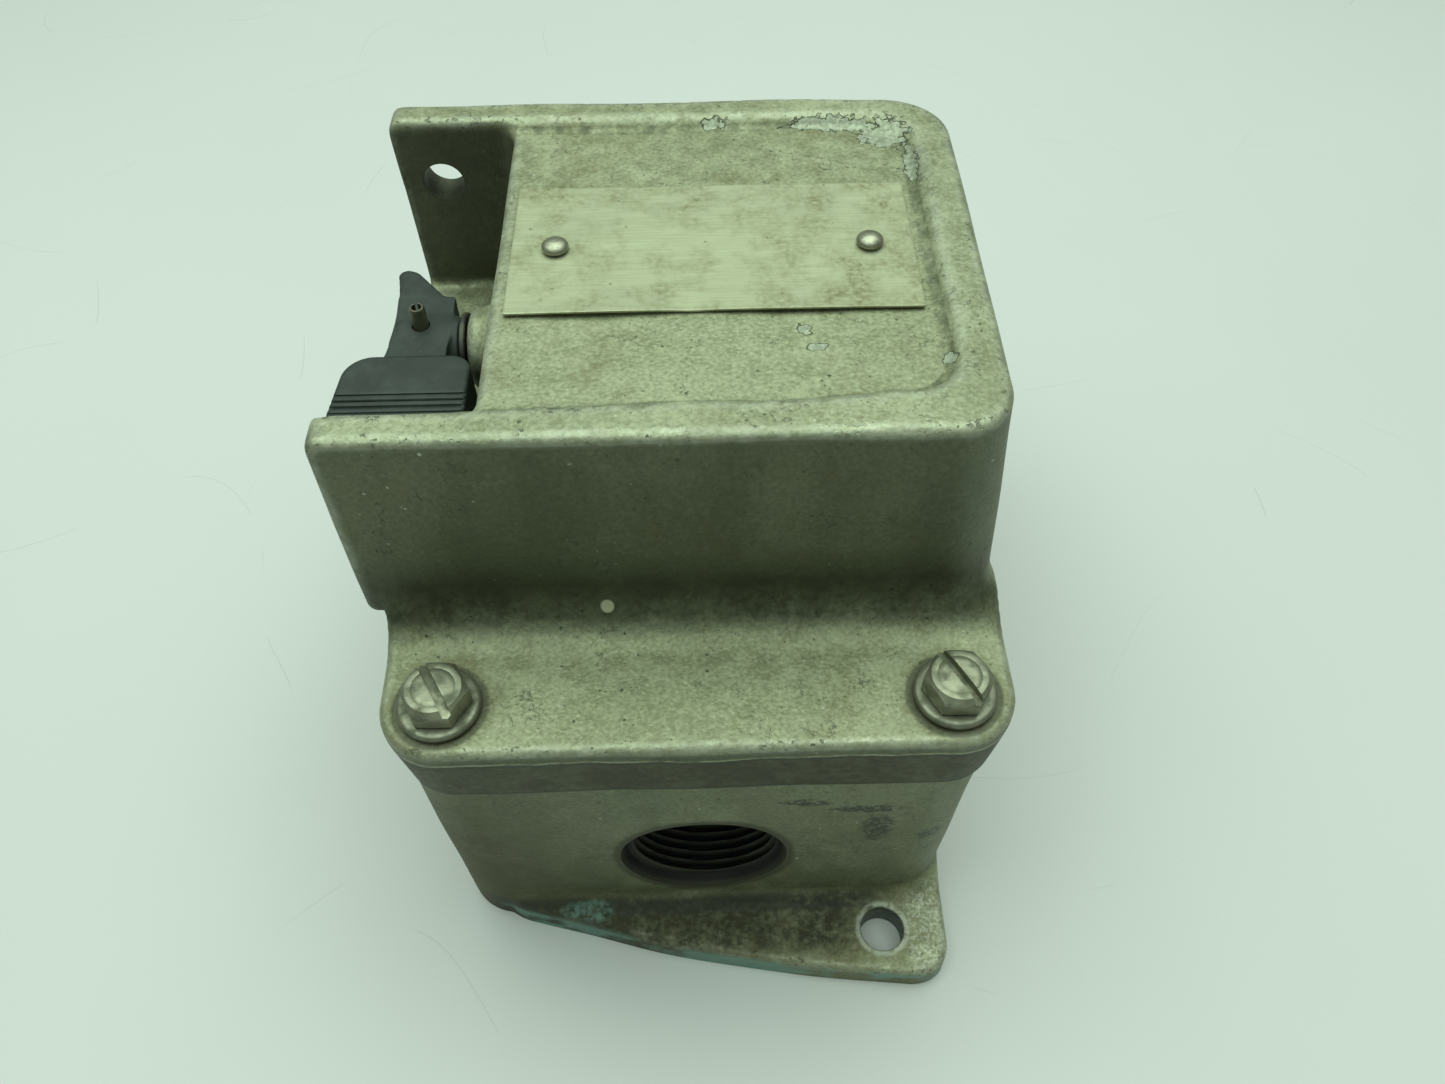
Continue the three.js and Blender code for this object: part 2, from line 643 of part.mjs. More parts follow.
addMesh('enclosure_base', 'cast', enclosureBase());
addMesh('enclosure_cover', 'cast', enclosureCover());
addMesh('conduit_plug', 'steel', conduitPlug());
for (const corner of CORNERS) {
  addMesh(`cover_screw_${corner.name}`, 'steel', coverScrew(corner));
  addMesh(`cover_washer_${corner.name}`, 'steel', coverWasher(corner));
}
addMesh('nameplate', 'plate', nameplate());
addMesh('nameplate_rivet_left', 'steel', nameplateRivet(-1));
addMesh('nameplate_rivet_right', 'steel', nameplateRivet(1));

addMesh('operating_lever', 'lever', operatingLever());
addMesh('lever_roll_pin', 'steel', leverPin());
addMesh('operating_shaft', 'steel', operatingShaft());
addMesh('shaft_washer', 'dark_steel', ring(
  'x', 7.4, SHAFT.r + GAP, -45.9, -44.8, SHAFT.y, SHAFT.z, 24));
addMesh('shaft_bushing', 'brass', ring(
  'x', 6, SHAFT.r + 0.05, SHAFT.bossEnd, -21, SHAFT.y, SHAFT.z, 20));
addMesh('shaft_retaining_ring', 'dark_steel', ring(
  'x', 5.8, 3.5, -19.9, -19.2, SHAFT.y, SHAFT.z, 20));
addMesh('crank_arm', 'steel', crankArm());
addMesh('crank_pin', 'steel', crankPin());

addMesh('switch_base', 'phenolic', switchBase());
addMesh('switch_cover', 'phenolic', switchCover());
addMesh('rocker', 'phenolic', rocker());
addMesh('rocker_pivot_pin', 'steel', rod('x', 1.5, -15, 15, SHAFT.y, PIVOT_Z, 14));
addMesh('contact_carrier', 'phenolic', contactCarrier());
POLES.forEach((pole, i) => {
  addMesh(`moving_contact_${i + 1}`, 'brass', movingContact(pole));
  addMesh(`contact_spring_${i + 1}`, 'steel', contactSpring(pole));
});
for (const terminal of terminals()) {
  addMesh(`terminal_strip_${terminal.name}`, 'brass', terminalStrip(terminal));
  addMesh(`terminal_screw_${terminal.name}`, 'brass', panHeadScrew(
    terminal.x, terminal.y, SWITCH.deck + 1.5 + 2 * GAP, 2, 3.2, 9));
}
addMesh('mounting_strap', 'steel', mountingStrap());
addMesh('mounting_screw_near', 'steel', panHeadScrew(
  0, -STRAP_Y, PAD_TOP + 1.6 + 2 * GAP, 2, 3.6, 8));
addMesh('mounting_screw_far', 'steel', panHeadScrew(
  0, STRAP_Y, PAD_TOP + 1.6 + 2 * GAP, 2, 3.6, 8));
addMesh('ground_screw', 'brass', panHeadScrew(
  GROUND.x, GROUND.y, GROUND.top + GAP, 2.4, 4.2, 6.5));

export default part;
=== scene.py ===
"""Looks of an enclosed manual motor switch: a painted sand casting with a guarded side lever.

The castings and the lever are distance fields, meshed and then machined with exact cutters,
so that cast edges are soft and bored or milled ones are crisp. Shapes are in millimetres
and the finished meshes in metres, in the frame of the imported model.
"""
import json
import math

import bmesh
import bpy
import numpy as np
import openvdb
from mathutils import Matrix, Vector


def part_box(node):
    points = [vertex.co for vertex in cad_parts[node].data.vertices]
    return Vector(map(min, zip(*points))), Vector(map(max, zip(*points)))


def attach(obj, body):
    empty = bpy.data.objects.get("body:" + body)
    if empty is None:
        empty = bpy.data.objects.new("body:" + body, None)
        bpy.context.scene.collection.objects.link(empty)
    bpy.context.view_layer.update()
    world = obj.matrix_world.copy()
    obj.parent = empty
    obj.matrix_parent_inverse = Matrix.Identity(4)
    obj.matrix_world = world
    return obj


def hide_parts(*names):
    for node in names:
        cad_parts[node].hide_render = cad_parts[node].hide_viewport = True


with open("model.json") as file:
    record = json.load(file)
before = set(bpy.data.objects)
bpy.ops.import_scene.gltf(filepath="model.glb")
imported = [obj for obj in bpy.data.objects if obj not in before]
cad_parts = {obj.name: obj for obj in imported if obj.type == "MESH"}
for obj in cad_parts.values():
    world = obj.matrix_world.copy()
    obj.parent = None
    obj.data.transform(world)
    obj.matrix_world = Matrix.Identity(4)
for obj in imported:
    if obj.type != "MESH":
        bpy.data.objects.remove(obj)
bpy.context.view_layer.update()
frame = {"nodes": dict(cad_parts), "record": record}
RECORD = frame["record"]
MM = 0.001


def mm_box(node):
    """(low, high) of a CAD node in millimetres."""
    low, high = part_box(node)
    return low / MM, high / MM


def middle(node):
    """Centre of a CAD node's box in millimetres."""
    low, high = mm_box(node)
    return (low + high) / 2


def foot(node):
    """The point of the plane Z = 0 under the middle of a CAD node."""
    centre = middle(node)
    return centre.x, centre.y, 0


COVER_LOW, COVER_HIGH = mm_box("enclosure_cover")
BASE_LOW, BASE_HIGH = mm_box("enclosure_base")
PLATE_LOW, PLATE_HIGH = mm_box("nameplate")
LEVER_LOW, LEVER_HIGH = mm_box("operating_lever")
SCREW_SITES = [foot(name) for name in frame["nodes"] if name.startswith("cover_washer")]

# ---------------------------------------------------------------- sizes, in millimetres

JOINT_Z = COVER_LOW.z
FLANGE_TOP = mm_box("cover_washer_near_left")[0].z - 0.3
FLANGE_X, FLANGE_Y, FLANGE_CORNER, FLANGE_ROUND = 58.6, COVER_HIGH.y, 11.5, 1.5
SEAM_Z, FLANGE_DRAFT, SEAM_RISE, SEAM_WIDTH = FLANGE_TOP - 3.8, 1.1, 0.28, 0.55
LUMP_X, LUMP_R = 22.8, 1.4
CUT_AWAY = 12  # how far a field runs on past a face that is cut flat later
DOME_TOP = COVER_HIGH.z
DOME_MIDDLE_Y = 0.4
DOME_HALF_Y_TOP, DOME_HALF_Y_FOOT = 49.9, 52.4
DOME_RIGHT_TOP, DOME_RIGHT_FOOT = 55.0, 57.9
DOME_CORNER_NEAR, DOME_CORNER_FAR, DOME_ROUND = 10.5, 14.0, 1.8
WING_TIP_TOP, WING_TIP_FOOT = COVER_LOW.x - 0.6, COVER_LOW.x + 1.0
WING_LEDGE, WING_CORNER, WING_ROUND = 88.3, 2.2, 1.6
FOOT_FILLET, END_FILLET = 1.5, 10.0
PANEL_Z, PANEL_LEFT, PANEL_RIGHT, PANEL_HALF_Y = 130.6, -36.5, 45.8, 43.2
PANEL_CORNER, RECESS_SLOPE, NEAR_RIM_WIDENING = 9.0, 0.7, 0.03
POCKET_FLOOR, POCKET_FOOT_X, POCKET_HALF_Y_FOOT, POCKET_CORNER = 90.2, -38.6, 42.2, 4.0
OPEN_SIDE, OPEN_TOP = -120, 200
SHAFT_END = mm_box("operating_shaft")[0].x
SHAFT_Y, SHAFT_Z = middle("operating_shaft").y, middle("operating_shaft").z
BOSS_END, BOSS_R, BUSHING_HOLE_R = -44.5, 8.0, 6.0
PADLOCK_X, PADLOCK_Z, PADLOCK_R = -54.2, 118.0, 4.54
CONDUIT_Z, THREAD_ROOT_R, THREAD_DEPTH, THREAD_PITCH = 32.0, 16.7, 1.55, 2.209
CAVITY_X, CAVITY_Y, CAVITY_CORNER, CAVITY_FLOOR, CAVITY_TOP = 45.5, 63.0, 9.0, 6.5, 78.0
ROOM_FOOT, ROOM_ROOF, ROOM_CORNER = (-32, 49, -44, 44), (-30, 46.5, -42, 42), 5
SPOT_FACE_R, COVER_HOLE_R, BASE_HOLE_R, BASE_HOLE_FOOT = 8.6, 3.6, 3.4, 43
EAR_TOP, EAR_LEFT, EAR_X, EAR_ROOT_Y = 7.0, -53.0, 54.8, -56.0
EAR_HOLE_X, EAR_HOLE_Y, EAR_HOLE_R = 40.3, 86.4, 4.93
EAR_CUT_START, EAR_CUT_END = (-51.5, -76.8), (24.0, -98.0)
EAR_CORNER, EAR_CUT_ROUND, EAR_ROUND, EAR_FILLET = 9.0, 12.0, 1.6, 6.0
WALL_FACE = 78.5
# Bosses on the base's floor: x, y, radius, top, and the hole's radius and bottom.
FLOOR_BOSSES = (
    (0, -47, 6, 14, 2.3, 7.5),
    (0, 47, 6, 14, 2.3, 7.5),
    (32, -52, 5, 12, 2.7, 5),
)

# ---------------------------------------------------------------- distance fields


def plan_box(x, y, x0, x1, y0, y1, radius):
    """Distance to a rounded rectangle; its sides and radius may vary with height."""
    qx = np.abs(x - (x0 + x1) / 2) - (x1 - x0) / 2 + radius
    qy = np.abs(y - (y0 + y1) / 2) - (y1 - y0) / 2 + radius
    outside = np.hypot(np.maximum(qx, 0), np.maximum(qy, 0))
    return outside + np.minimum(np.maximum(qx, qy), 0) - radius


def slab(z, low, high):
    return np.abs(z - (low + high) / 2) - (high - low) / 2


def meet(a, b, rounding):
    """Intersection of two fields whose common edge is rounded."""
    a = a + rounding
    b = b + rounding
    return np.hypot(np.maximum(a, 0), np.maximum(b, 0)) + np.minimum(np.maximum(a, b), 0) - rounding


def blend_in(a, b, width):
    """Union with a fillet about as wide as width."""
    h = np.maximum(width - np.abs(a - b), 0) / width
    return np.minimum(a, b) - h * h * width / 4


def carve(a, b, width):
    """a less b, with both new edges softened."""
    return -blend_in(-a, b, width)


def ramp(z, z0, v0, z1, v1):
    return v0 + (v1 - v0) * (z - z0) / (z1 - z0)


def make_ripple(seed, wavelength, amplitude, waves=14):
    """A smooth random unevenness, as a sum of plane waves."""
    rng = np.random.default_rng(seed)
    direction = rng.normal(size=(waves, 3))
    direction /= np.linalg.norm(direction, axis=1, keepdims=True)
    k = direction * (2 * math.pi / wavelength) * rng.uniform(0.6, 1.5, (waves, 1))
    phase = rng.uniform(0, 2 * math.pi, waves)
    scale = amplitude / math.sqrt(waves / 2)

    def ripple(x, y, z):
        total = 0
        for (kx, ky, kz), p in zip(k.astype(np.float32), phase.astype(np.float32)):
            total = total + np.sin(kx * x + ky * y + kz * z + p)
        return total * scale

    return ripple


slow_warp = make_ripple(3, 42.0, 0.13)
flash_line = make_ripple(7, 9.0, 0.30)
edge_nicks = make_ripple(11, 5.5, 0.20)


def cover_field(x, y, z):
    """The cover's outside, without machined holes, joint face or the hollow inside."""
    inset = FLANGE_DRAFT * np.clip((SEAM_Z - z) / (SEAM_Z - JOINT_Z), 0, 1)
    flange_plan = plan_box(
        x, y, inset - FLANGE_X, FLANGE_X - inset, inset - FLANGE_Y, FLANGE_Y - inset, FLANGE_CORNER)
    flange = meet(flange_plan, slab(z, JOINT_Z - CUT_AWAY, FLANGE_TOP), FLANGE_ROUND)
    flash_z = SEAM_Z + flash_line(x, y, 0 * z)
    flange = flange - SEAM_RISE * np.exp(-(((z - flash_z) / SEAM_WIDTH) ** 2))
    lump = np.sqrt((x - LUMP_X) ** 2 + (y + FLANGE_Y - 0.6) ** 2 + (z - SEAM_Z) ** 2) - LUMP_R
    flange = blend_in(flange, lump, 1.0)
    left = ramp(z, FLANGE_TOP, WING_TIP_FOOT, DOME_TOP, WING_TIP_TOP)
    right = ramp(z, FLANGE_TOP, DOME_RIGHT_FOOT, DOME_TOP, DOME_RIGHT_TOP)
    half_y = ramp(z, FLANGE_TOP, DOME_HALF_Y_FOOT, DOME_TOP, DOME_HALF_Y_TOP)
    corner = np.where(x < 0, WING_CORNER, np.where(y < 0, DOME_CORNER_NEAR, DOME_CORNER_FAR))
    dome = meet(
        plan_box(x, y, left, right, DOME_MIDDLE_Y - half_y, DOME_MIDDLE_Y + half_y, corner),
        slab(z, JOINT_Z, DOME_TOP), DOME_ROUND)
    wing_profile = plan_box(
        x, z, WING_TIP_TOP, 90, WING_LEDGE, DOME_TOP + 0 * x, np.where(z > 110, 4.0, 1.6))
    under_wing = plan_box(x, z, -FLANGE_X + 1.5, 90, 40, DOME_TOP + 0 * x, 2.0)
    dome = meet(dome, np.minimum(wing_profile, under_wing), WING_ROUND)
    facing_ends = np.clip((np.abs(y) - 40.0) / 9.0, 0, 1)
    body = blend_in(flange, dome, FOOT_FILLET + (END_FILLET - FOOT_FILLET) * facing_ends)
    body = np.maximum(body, np.minimum(flange_plan, dome))
    boss_reach = np.clip((x - BOSS_END) / (POCKET_FOOT_X - BOSS_END), 0, 2)
    boss = meet(np.hypot(y - SHAFT_Y, z - SHAFT_Z) - BOSS_R - 1.2 * boss_reach,
                slab(x, BOSS_END, -30), 1.8)
    pocket = meet(
        plan_box(x, y, OPEN_SIDE, ramp(z, POCKET_FLOOR, POCKET_FOOT_X, PANEL_Z, PANEL_LEFT),
                 -ramp(z, POCKET_FLOOR, POCKET_HALF_Y_FOOT - 1.3, PANEL_Z, PANEL_HALF_Y - 1.4),
                 ramp(z, POCKET_FLOOR, POCKET_HALF_Y_FOOT, PANEL_Z, PANEL_HALF_Y),
                 POCKET_CORNER),
        slab(z, POCKET_FLOOR, OPEN_TOP), 2.0)
    body = carve(body, carve(pocket, boss, 5.0), 0.9)
    widening = NEAR_RIM_WIDENING * np.maximum(x - PANEL_LEFT, 0)
    slope_out = RECESS_SLOPE * (z - PANEL_Z)
    recess = meet(
        plan_box(x, y, OPEN_SIDE, PANEL_RIGHT + slope_out, widening - PANEL_HALF_Y + 1.3,
                 PANEL_HALF_Y - 1.2 + slope_out, PANEL_CORNER),
        slab(z, PANEL_Z, OPEN_TOP), 1.0)
    body = carve(body, recess, 2.0)
    worn = np.clip(edge_nicks(x, y, z) - 0.26, 0, 0.12) * (z > PANEL_Z + 1.0)
    return body + slow_warp(x, y, z) + worn


def ear_plan(x, y):
    """Outline of the near mounting ear; the far one is the same, turned half a turn."""
    (x0, y0), (x1, y1) = EAR_CUT_START, EAR_CUT_END
    slope = math.atan2(y0 - y1, x1 - x0)
    diagonal = -(x - x0) * math.sin(slope) - (y - y0) * math.cos(slope)
    outline = plan_box(x, y, EAR_LEFT, EAR_X, BASE_LOW.y, EAR_ROOT_Y, EAR_CORNER)
    return meet(outline, diagonal, EAR_CUT_ROUND)


def base_field(x, y, z):
    """The base's outside; its flat back and top are cut later."""
    left = ramp(z, 0, -56.4, BASE_HIGH.z, -57.2)
    right = ramp(z, 0, 54.7, BASE_HIGH.z, 56.4)
    half_y = ramp(z, 0, 77.5, BASE_HIGH.z, 79.7)
    block = meet(
        plan_box(x, y, left, right, -half_y, half_y, ramp(z, 0, 12.0, BASE_HIGH.z, 11.0)),
        slab(z, -CUT_AWAY, BASE_HIGH.z + CUT_AWAY), 0.5)
    body = block
    limit = block
    for turn in (1, -1):
        plan = ear_plan(turn * x, turn * y)
        ear = meet(plan, slab(z, -CUT_AWAY, EAR_TOP), EAR_ROUND)
        body = blend_in(body, ear, EAR_FILLET)
        limit = np.minimum(limit, plan)
    return np.maximum(body, limit) + slow_warp(x, y, z)


# ---------------------------------------------------------------- meshing


def add_object(name, data):
    obj = bpy.data.objects.new(name, data)
    bpy.context.scene.collection.objects.link(obj)
    return obj


def object_from(name, points, faces):
    mesh = bpy.data.meshes.new(name)
    mesh.from_pydata(points, [], faces)
    mesh.validate()
    return add_object(name, mesh)


def gradient(field, p, step):
    parts = []
    for axis in range(3):
        ahead = [p[:, i] + (step if i == axis else 0) for i in range(3)]
        behind = [p[:, i] - (step if i == axis else 0) for i in range(3)]
        parts.append((field(*ahead) - field(*behind)) / (2 * step))
    return np.stack(parts, axis=1)


def mesh_field(name, field, low, high, voxel):
    """Meshes a field's zero surface inside the box low to high, all in millimetres."""
    low = np.array(low, np.float32)
    counts = np.ceil((np.array(high) - low) / voxel).astype(int) + 1
    x, y, z = [
        (low[i] + voxel * np.arange(counts[i], dtype=np.float32)).reshape(
            [-1 if axis == i else 1 for axis in range(3)])
        for i in range(3)
    ]
    values = np.broadcast_to(field(x, y, z), counts).astype(np.float32)
    grid = openvdb.FloatGrid(voxel * 4)
    grid.copyFromArray(np.ascontiguousarray(values))
    points, quads = grid.convertToQuads(isovalue=0.0)
    points = points * voxel + low
    for _ in range(3):
        slope = gradient(field, points, voxel * 0.3)
        length2 = np.maximum((slope ** 2).sum(1), 0.25)
        points = points - slope * (field(*points.T) / length2)[:, None]
    obj = object_from(name, (points * MM).astype(np.float32), quads[:, ::-1])
    obj.data.shade_smooth()
    return obj


def prism(name, sections):
    """A closed skin over outlines [(height, [(x, y), ...]), ...], in millimetres."""
    count = len(sections[0][1])
    points = [(x * MM, y * MM, z * MM) for z, outline in sections for x, y in outline]
    faces = [list(range(count))[::-1]]
    for level in range(len(sections) - 1):
        a = level * count
        for i in range(count):
            j = (i + 1) % count
            faces.append([a + i, a + j, a + j + count, a + i + count])
    last = (len(sections) - 1) * count
    faces.append([last + i for i in range(count)])
    return object_from(name, points, faces)


def extrude(outline, low, high, name="tool"):
    return prism(name, [(low, outline), (high, outline)])


def circle(radius, steps):
    angles = [2 * math.pi * i / steps for i in range(steps)]
    return [(radius * math.cos(a), radius * math.sin(a)) for a in angles]


def rounded_outline(x0, x1, y0, y1, radius, steps=8):
    corners = ((x1, y0, -90), (x1, y1, 0), (x0, y1, 90), (x0, y0, 180))
    points = []
    for x, y, start in corners:
        cx = x - radius if x == x1 else x + radius
        cy = y - radius if y == y1 else y + radius
        for i in range(steps + 1):
            a = math.radians(start + 90 * i / steps)
            points.append((cx + radius * math.cos(a), cy + radius * math.sin(a)))
    return points


AXIS_TURN = {
    "x": Matrix(((0, 0, 1, 0), (1, 0, 0, 0), (0, 1, 0, 0), (0, 0, 0, 1))),
    "y": Matrix(((0, 1, 0, 0), (0, 0, 1, 0), (1, 0, 0, 0), (0, 0, 0, 1))),
    "z": Matrix.Identity(4),
}


def lathe(name, profile, axis="z", centre=(0, 0, 0), steps=64):
    """Turns (radius, height) pairs into a solid of revolution.

    A profile that starts off the axis is closed into a ring.
    """
    is_ring = profile[0][0] > 0
    mesh = bpy.data.meshes.new(name)
    bm = bmesh.new()
    rings = []
    for r, h in profile:
        if r == 0:
            rings.append([bm.verts.new((0, 0, h * MM))] * steps)
        else:
            rings.append([bm.verts.new((x * MM, y * MM, h * MM)) for x, y in circle(r, steps)])
    pairs = list(zip(rings, rings[1:]))
    if is_ring:
        pairs.append((rings[-1], rings[0]))
    for a, b in pairs:
        for i in range(steps):
            j = (i + 1) % steps
            corner = []
            for v in (a[i], a[j], b[j], b[i]):
                if v not in corner:
                    corner.append(v)
            if len(corner) > 2:
                bm.faces.new(corner)
    bmesh.ops.recalc_face_normals(bm, faces=bm.faces)
    bm.to_mesh(mesh)
    bm.free()
    mesh.transform(Matrix.Translation(Vector(centre) * MM) @ AXIS_TURN[axis])
    return add_object(name, mesh)


def rod(radius, low, high, axis="z", centre=(0, 0, 0), steps=48):
    return lathe("rod", [(0, low), (radius, low), (radius, high), (0, high)], axis, centre, steps)


def apply_modifiers(obj):
    graph = bpy.context.evaluated_depsgraph_get()
    mesh = bpy.data.meshes.new_from_object(obj.evaluated_get(graph))
    old = obj.data
    obj.modifiers.clear()
    obj.data = mesh
    bpy.data.meshes.remove(old)


def combine(obj, tools, operation="DIFFERENCE"):
    """Cuts obj with the tools, or joins them to it, and removes them."""
    for tool in tools:
        modifier = obj.modifiers.new("combine", "BOOLEAN")
        modifier.solver = "MANIFOLD"
        modifier.operation = operation
        modifier.object = tool
        apply_modifiers(obj)
        bpy.data.objects.remove(tool)
    return obj


def shade_round(obj, angle):
    """Smooth shading, except over edges sharper than angle in degrees."""
    obj.data.shade_smooth()
    obj.data.set_sharp_from_angle(angle=math.radians(angle))
    return obj


def soften(obj, width, segments=2, angle=32):
    """Small bevels on sharp edges, in millimetres, then smooth shading between them."""
    bevel = obj.modifiers.new("bevel", "BEVEL")
    bevel.width = width * MM
    bevel.segments = segments
    bevel.limit_method = "ANGLE"
    bevel.angle_limit = math.radians(angle)
    apply_modifiers(obj)
    return shade_round(obj, 38)


def box_tool(x0, x1, y0, y1, z0, z1):
    return extrude([(x0, y0), (x1, y0), (x1, y1), (x0, y1)], z0, z1)


BODY_OF = {node: body for body, nodes in RECORD["behaviour"]["bodies"].items() for node in nodes}
SLOT_OF = {entry["node"]: entry["material_slot"] for entry in RECORD["subparts"]}


def stand_for(piece, node, material):
    """piece is shown in place of that CAD node and moves with its body."""
    piece.data.materials.clear()
    piece.data.materials.append(material)
    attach(piece, BODY_OF[node])
    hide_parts(node)
    return piece


def mark_relief(obj, field, reach):
    """Stores how convex ("edge") and how hollow ("hollow") the casting is at each vertex."""
    p = np.empty(len(obj.data.vertices) * 3, np.float32)
    obj.data.vertices.foreach_get("co", p)
    p = p.reshape(-1, 3) / MM
    around = -6 * field(*p.T)
    for axis in range(3):
        for side in (-reach, reach):
            moved = p.copy()
            moved[:, axis] += side
            around = around + field(*moved.T)
    bend = around / (reach * reach)
    for name, sign in (("edge", 1.0), ("hollow", -1.0)):
        layer = obj.data.attributes.new(name, "FLOAT", "POINT")
        layer.data.foreach_set("value", np.clip(sign * bend, 0, 1).astype(np.float32))


# ---------------------------------------------------------------- materials


class Nodes:
    """A tree of shader nodes under construction."""

    def __init__(self, tree):
        self.tree = tree

    def feed(self, socket, value):
        if isinstance(value, bpy.types.NodeSocket):
            self.tree.links.new(value, socket)
        elif isinstance(value, tuple) and socket.type == "RGBA":
            socket.default_value = (*value[:3], 1)
        else:
            socket.default_value = value

    def node(self, kind, inputs=None, **settings):
        """Adds a node, feeds its inputs by name or number, and returns its outputs."""
        node = self.tree.nodes.new("ShaderNode" + kind)
        for name, value in settings.items():
            setattr(node, name, value)
        for name, value in (inputs or {}).items():
            self.feed(node.inputs[name], value)
        return node.outputs


class Finish(Nodes):
    """Builds one material; its coordinates are the part's own, in millimetres."""

    def __init__(self, name):
        self.material = bpy.data.materials.new(name)
        self.material.use_nodes = True
        super().__init__(self.material.node_tree)
        self.shader = self.tree.nodes["Principled BSDF"]
        self.place = self.vector("MULTIPLY", self.node("TexCoord")["Object"], (1 / MM,) * 3)

    def vector(self, operation, a, b=(0, 0, 0)):
        outputs = self.node("VectorMath", {0: a, 1: b}, operation=operation)
        return outputs["Value" if operation == "LENGTH" else "Vector"]

    def math(self, operation, a, b=0.0):
        return self.node("Math", {0: a, 1: b}, operation=operation)[0]

    def fade(self, value, start, end):
        """0 at start and 1 at end, clamped."""
        return self.node("MapRange", {"Value": value, "From Min": start, "From Max": end})[0]

    def times(self, *values):
        total = values[0]
        for value in values[1:]:
            total = self.math("MULTIPLY", total, value)
        return total

    def most(self, *values):
        total = values[0]
        for value in values[1:]:
            total = self.math("MAXIMUM", total, value)
        return total

    def plus(self, a, b, share=1.0):
        return self.math("ADD", a, self.math("MULTIPLY", b, share))

    def spread(self, value, low, high):
        """Turns 0..1 into low..high."""
        return self.math("ADD", self.math("MULTIPLY", value, high - low), low)

    def mix(self, share, a, b):
        return self.node("Mix", {0: share, 6: a, 7: b}, data_type="RGBA")[2]

    def noise(self, size, detail=3.0, stretch=(1, 1, 1), shift=0.0):
        """Fractal noise about size millimetres across, roughly 0.3 to 0.7."""
        moved = self.vector("ADD", self.vector("MULTIPLY", self.place, stretch), (shift,) * 3)
        return self.node("TexNoise", {"Vector": moved, "Scale": 1 / size, "Detail": detail})["Fac"]

    def patches(self, start, end, size, detail=3.0, **place):
        """Noise as patches: 0 where it is below start, 1 above end."""
        return self.fade(self.noise(size, detail, **place), start, end)

    def cells(self, size, shift=0.0):
        """Distance from scattered points about size millimetres apart, in cell sizes."""
        moved = self.vector("ADD", self.place, (shift,) * 3)
        return self.node("TexVoronoi", {"Vector": moved, "Scale": 1 / size})["Distance"]

    def specks(self, size, share, shift=0.0):
        """Small irregular dots; share is how much of each cell a dot may fill."""
        ragged = self.plus(self.cells(size, shift), self.noise(size * 0.45, 2, shift=shift), 0.5)
        rare = self.fade(self.noise(size * 3, 2, shift=shift + 40), 0.5, 0.6)
        return self.times(self.fade(ragged, share + 0.3, share + 0.22), rare)

    def near(self, centre, reach):
        """Distance from a point in units of reach along each axis."""
        offset = self.vector("SUBTRACT", self.place, tuple(centre))
        return self.vector("LENGTH", self.vector("MULTIPLY", offset, tuple(1 / r for r in reach)))

    def axis(self, name):
        return self.node("SeparateXYZ", {0: self.place})[name]

    def along(self, name, start, end):
        """0 at start and 1 at end along an axis, clamped."""
        return self.fade(self.axis(name), start, end)

    def between(self, name, low, high, soft):
        """1 between two places along an axis, fading outside them."""
        return self.times(self.along(name, low - soft, low), self.along(name, high + soft, high))

    def facing(self, name):
        """Component of the surface's true normal in the part's own axes."""
        return self.node("SeparateXYZ", {0: self.node("TexCoord")["Normal"]})[name]

    def layer(self, name):
        return self.node("Attribute", attribute_name=name)["Fac"]

    def finish(self, color, roughness, metallic, relief=()):
        looks = {"Base Color": color, "Roughness": roughness, "Metallic": metallic}
        for height, depth in relief:
            bump = {"Distance": depth * MM, "Height": height}
            if "Normal" in looks:
                bump["Normal"] = looks["Normal"]
            looks["Normal"] = self.node("Bump", bump)["Normal"]
        for name, value in looks.items():
            self.feed(self.shader.inputs[name], value)
        return self.material


PAINT_LIGHT = (0.430, 0.455, 0.295)
PAINT_DARK = (0.250, 0.270, 0.158)
# Darks: the first one and the soot colour real dirt and also painted shade on walls, in hollows,
# joints and holes; the wall-foot, pocket, ear, bore and groove darks are painted shade only.
GRIME_AND_SHADE = (0.082, 0.094, 0.050)
OIL_BROWN = (0.170, 0.150, 0.062)
SOOT_AND_SHADE = (0.040, 0.046, 0.034)
BARE_METAL = (0.70, 0.73, 0.64)
TEAL = (0.20, 0.36, 0.31)
PALE_SPLASH = (0.60, 0.60, 0.42)
BAND_DIRT = (0.046, 0.047, 0.020)
WALL_FOOT_SHADE = (0.052, 0.059, 0.032)
POCKET_SHADE = (0.062, 0.066, 0.034)
PADLOCK_METAL_AND_SHADE = (0.05, 0.055, 0.035)
CORNER_OCHRE = (0.066, 0.063, 0.018)
EAR_SHADE = (0.044, 0.044, 0.022)
MOUTH_DIRT_AND_SHADE = (0.055, 0.055, 0.028)
BORE_SHADE = (0.042, 0.043, 0.028)
GROOVE_SHADE = (0.012, 0.012, 0.009)
FLAKED_DARK, FLAKED_LIGHT = (0.33, 0.36, 0.26), (0.50, 0.54, 0.42)
PLATE_DARK, PLATE_LIGHT = (0.42, 0.44, 0.285), (0.56, 0.585, 0.405)
PLATE_STAIN, PLATE_SPOT = (0.200, 0.180, 0.078), (0.10, 0.09, 0.05)
DUST_FILM, DUST_DOT = (0.30, 0.33, 0.27), (0.30, 0.32, 0.26)
ZINC_DARK, ZINC_LIGHT = (0.30, 0.31, 0.27), (0.46, 0.47, 0.42)
BOARD_DARK, BOARD_LIGHT = (0.740, 0.752, 0.745), (0.775, 0.785, 0.780)
BOARD_HAIR, BOARD_SPECK = (0.42, 0.44, 0.38), (0.30, 0.32, 0.24)

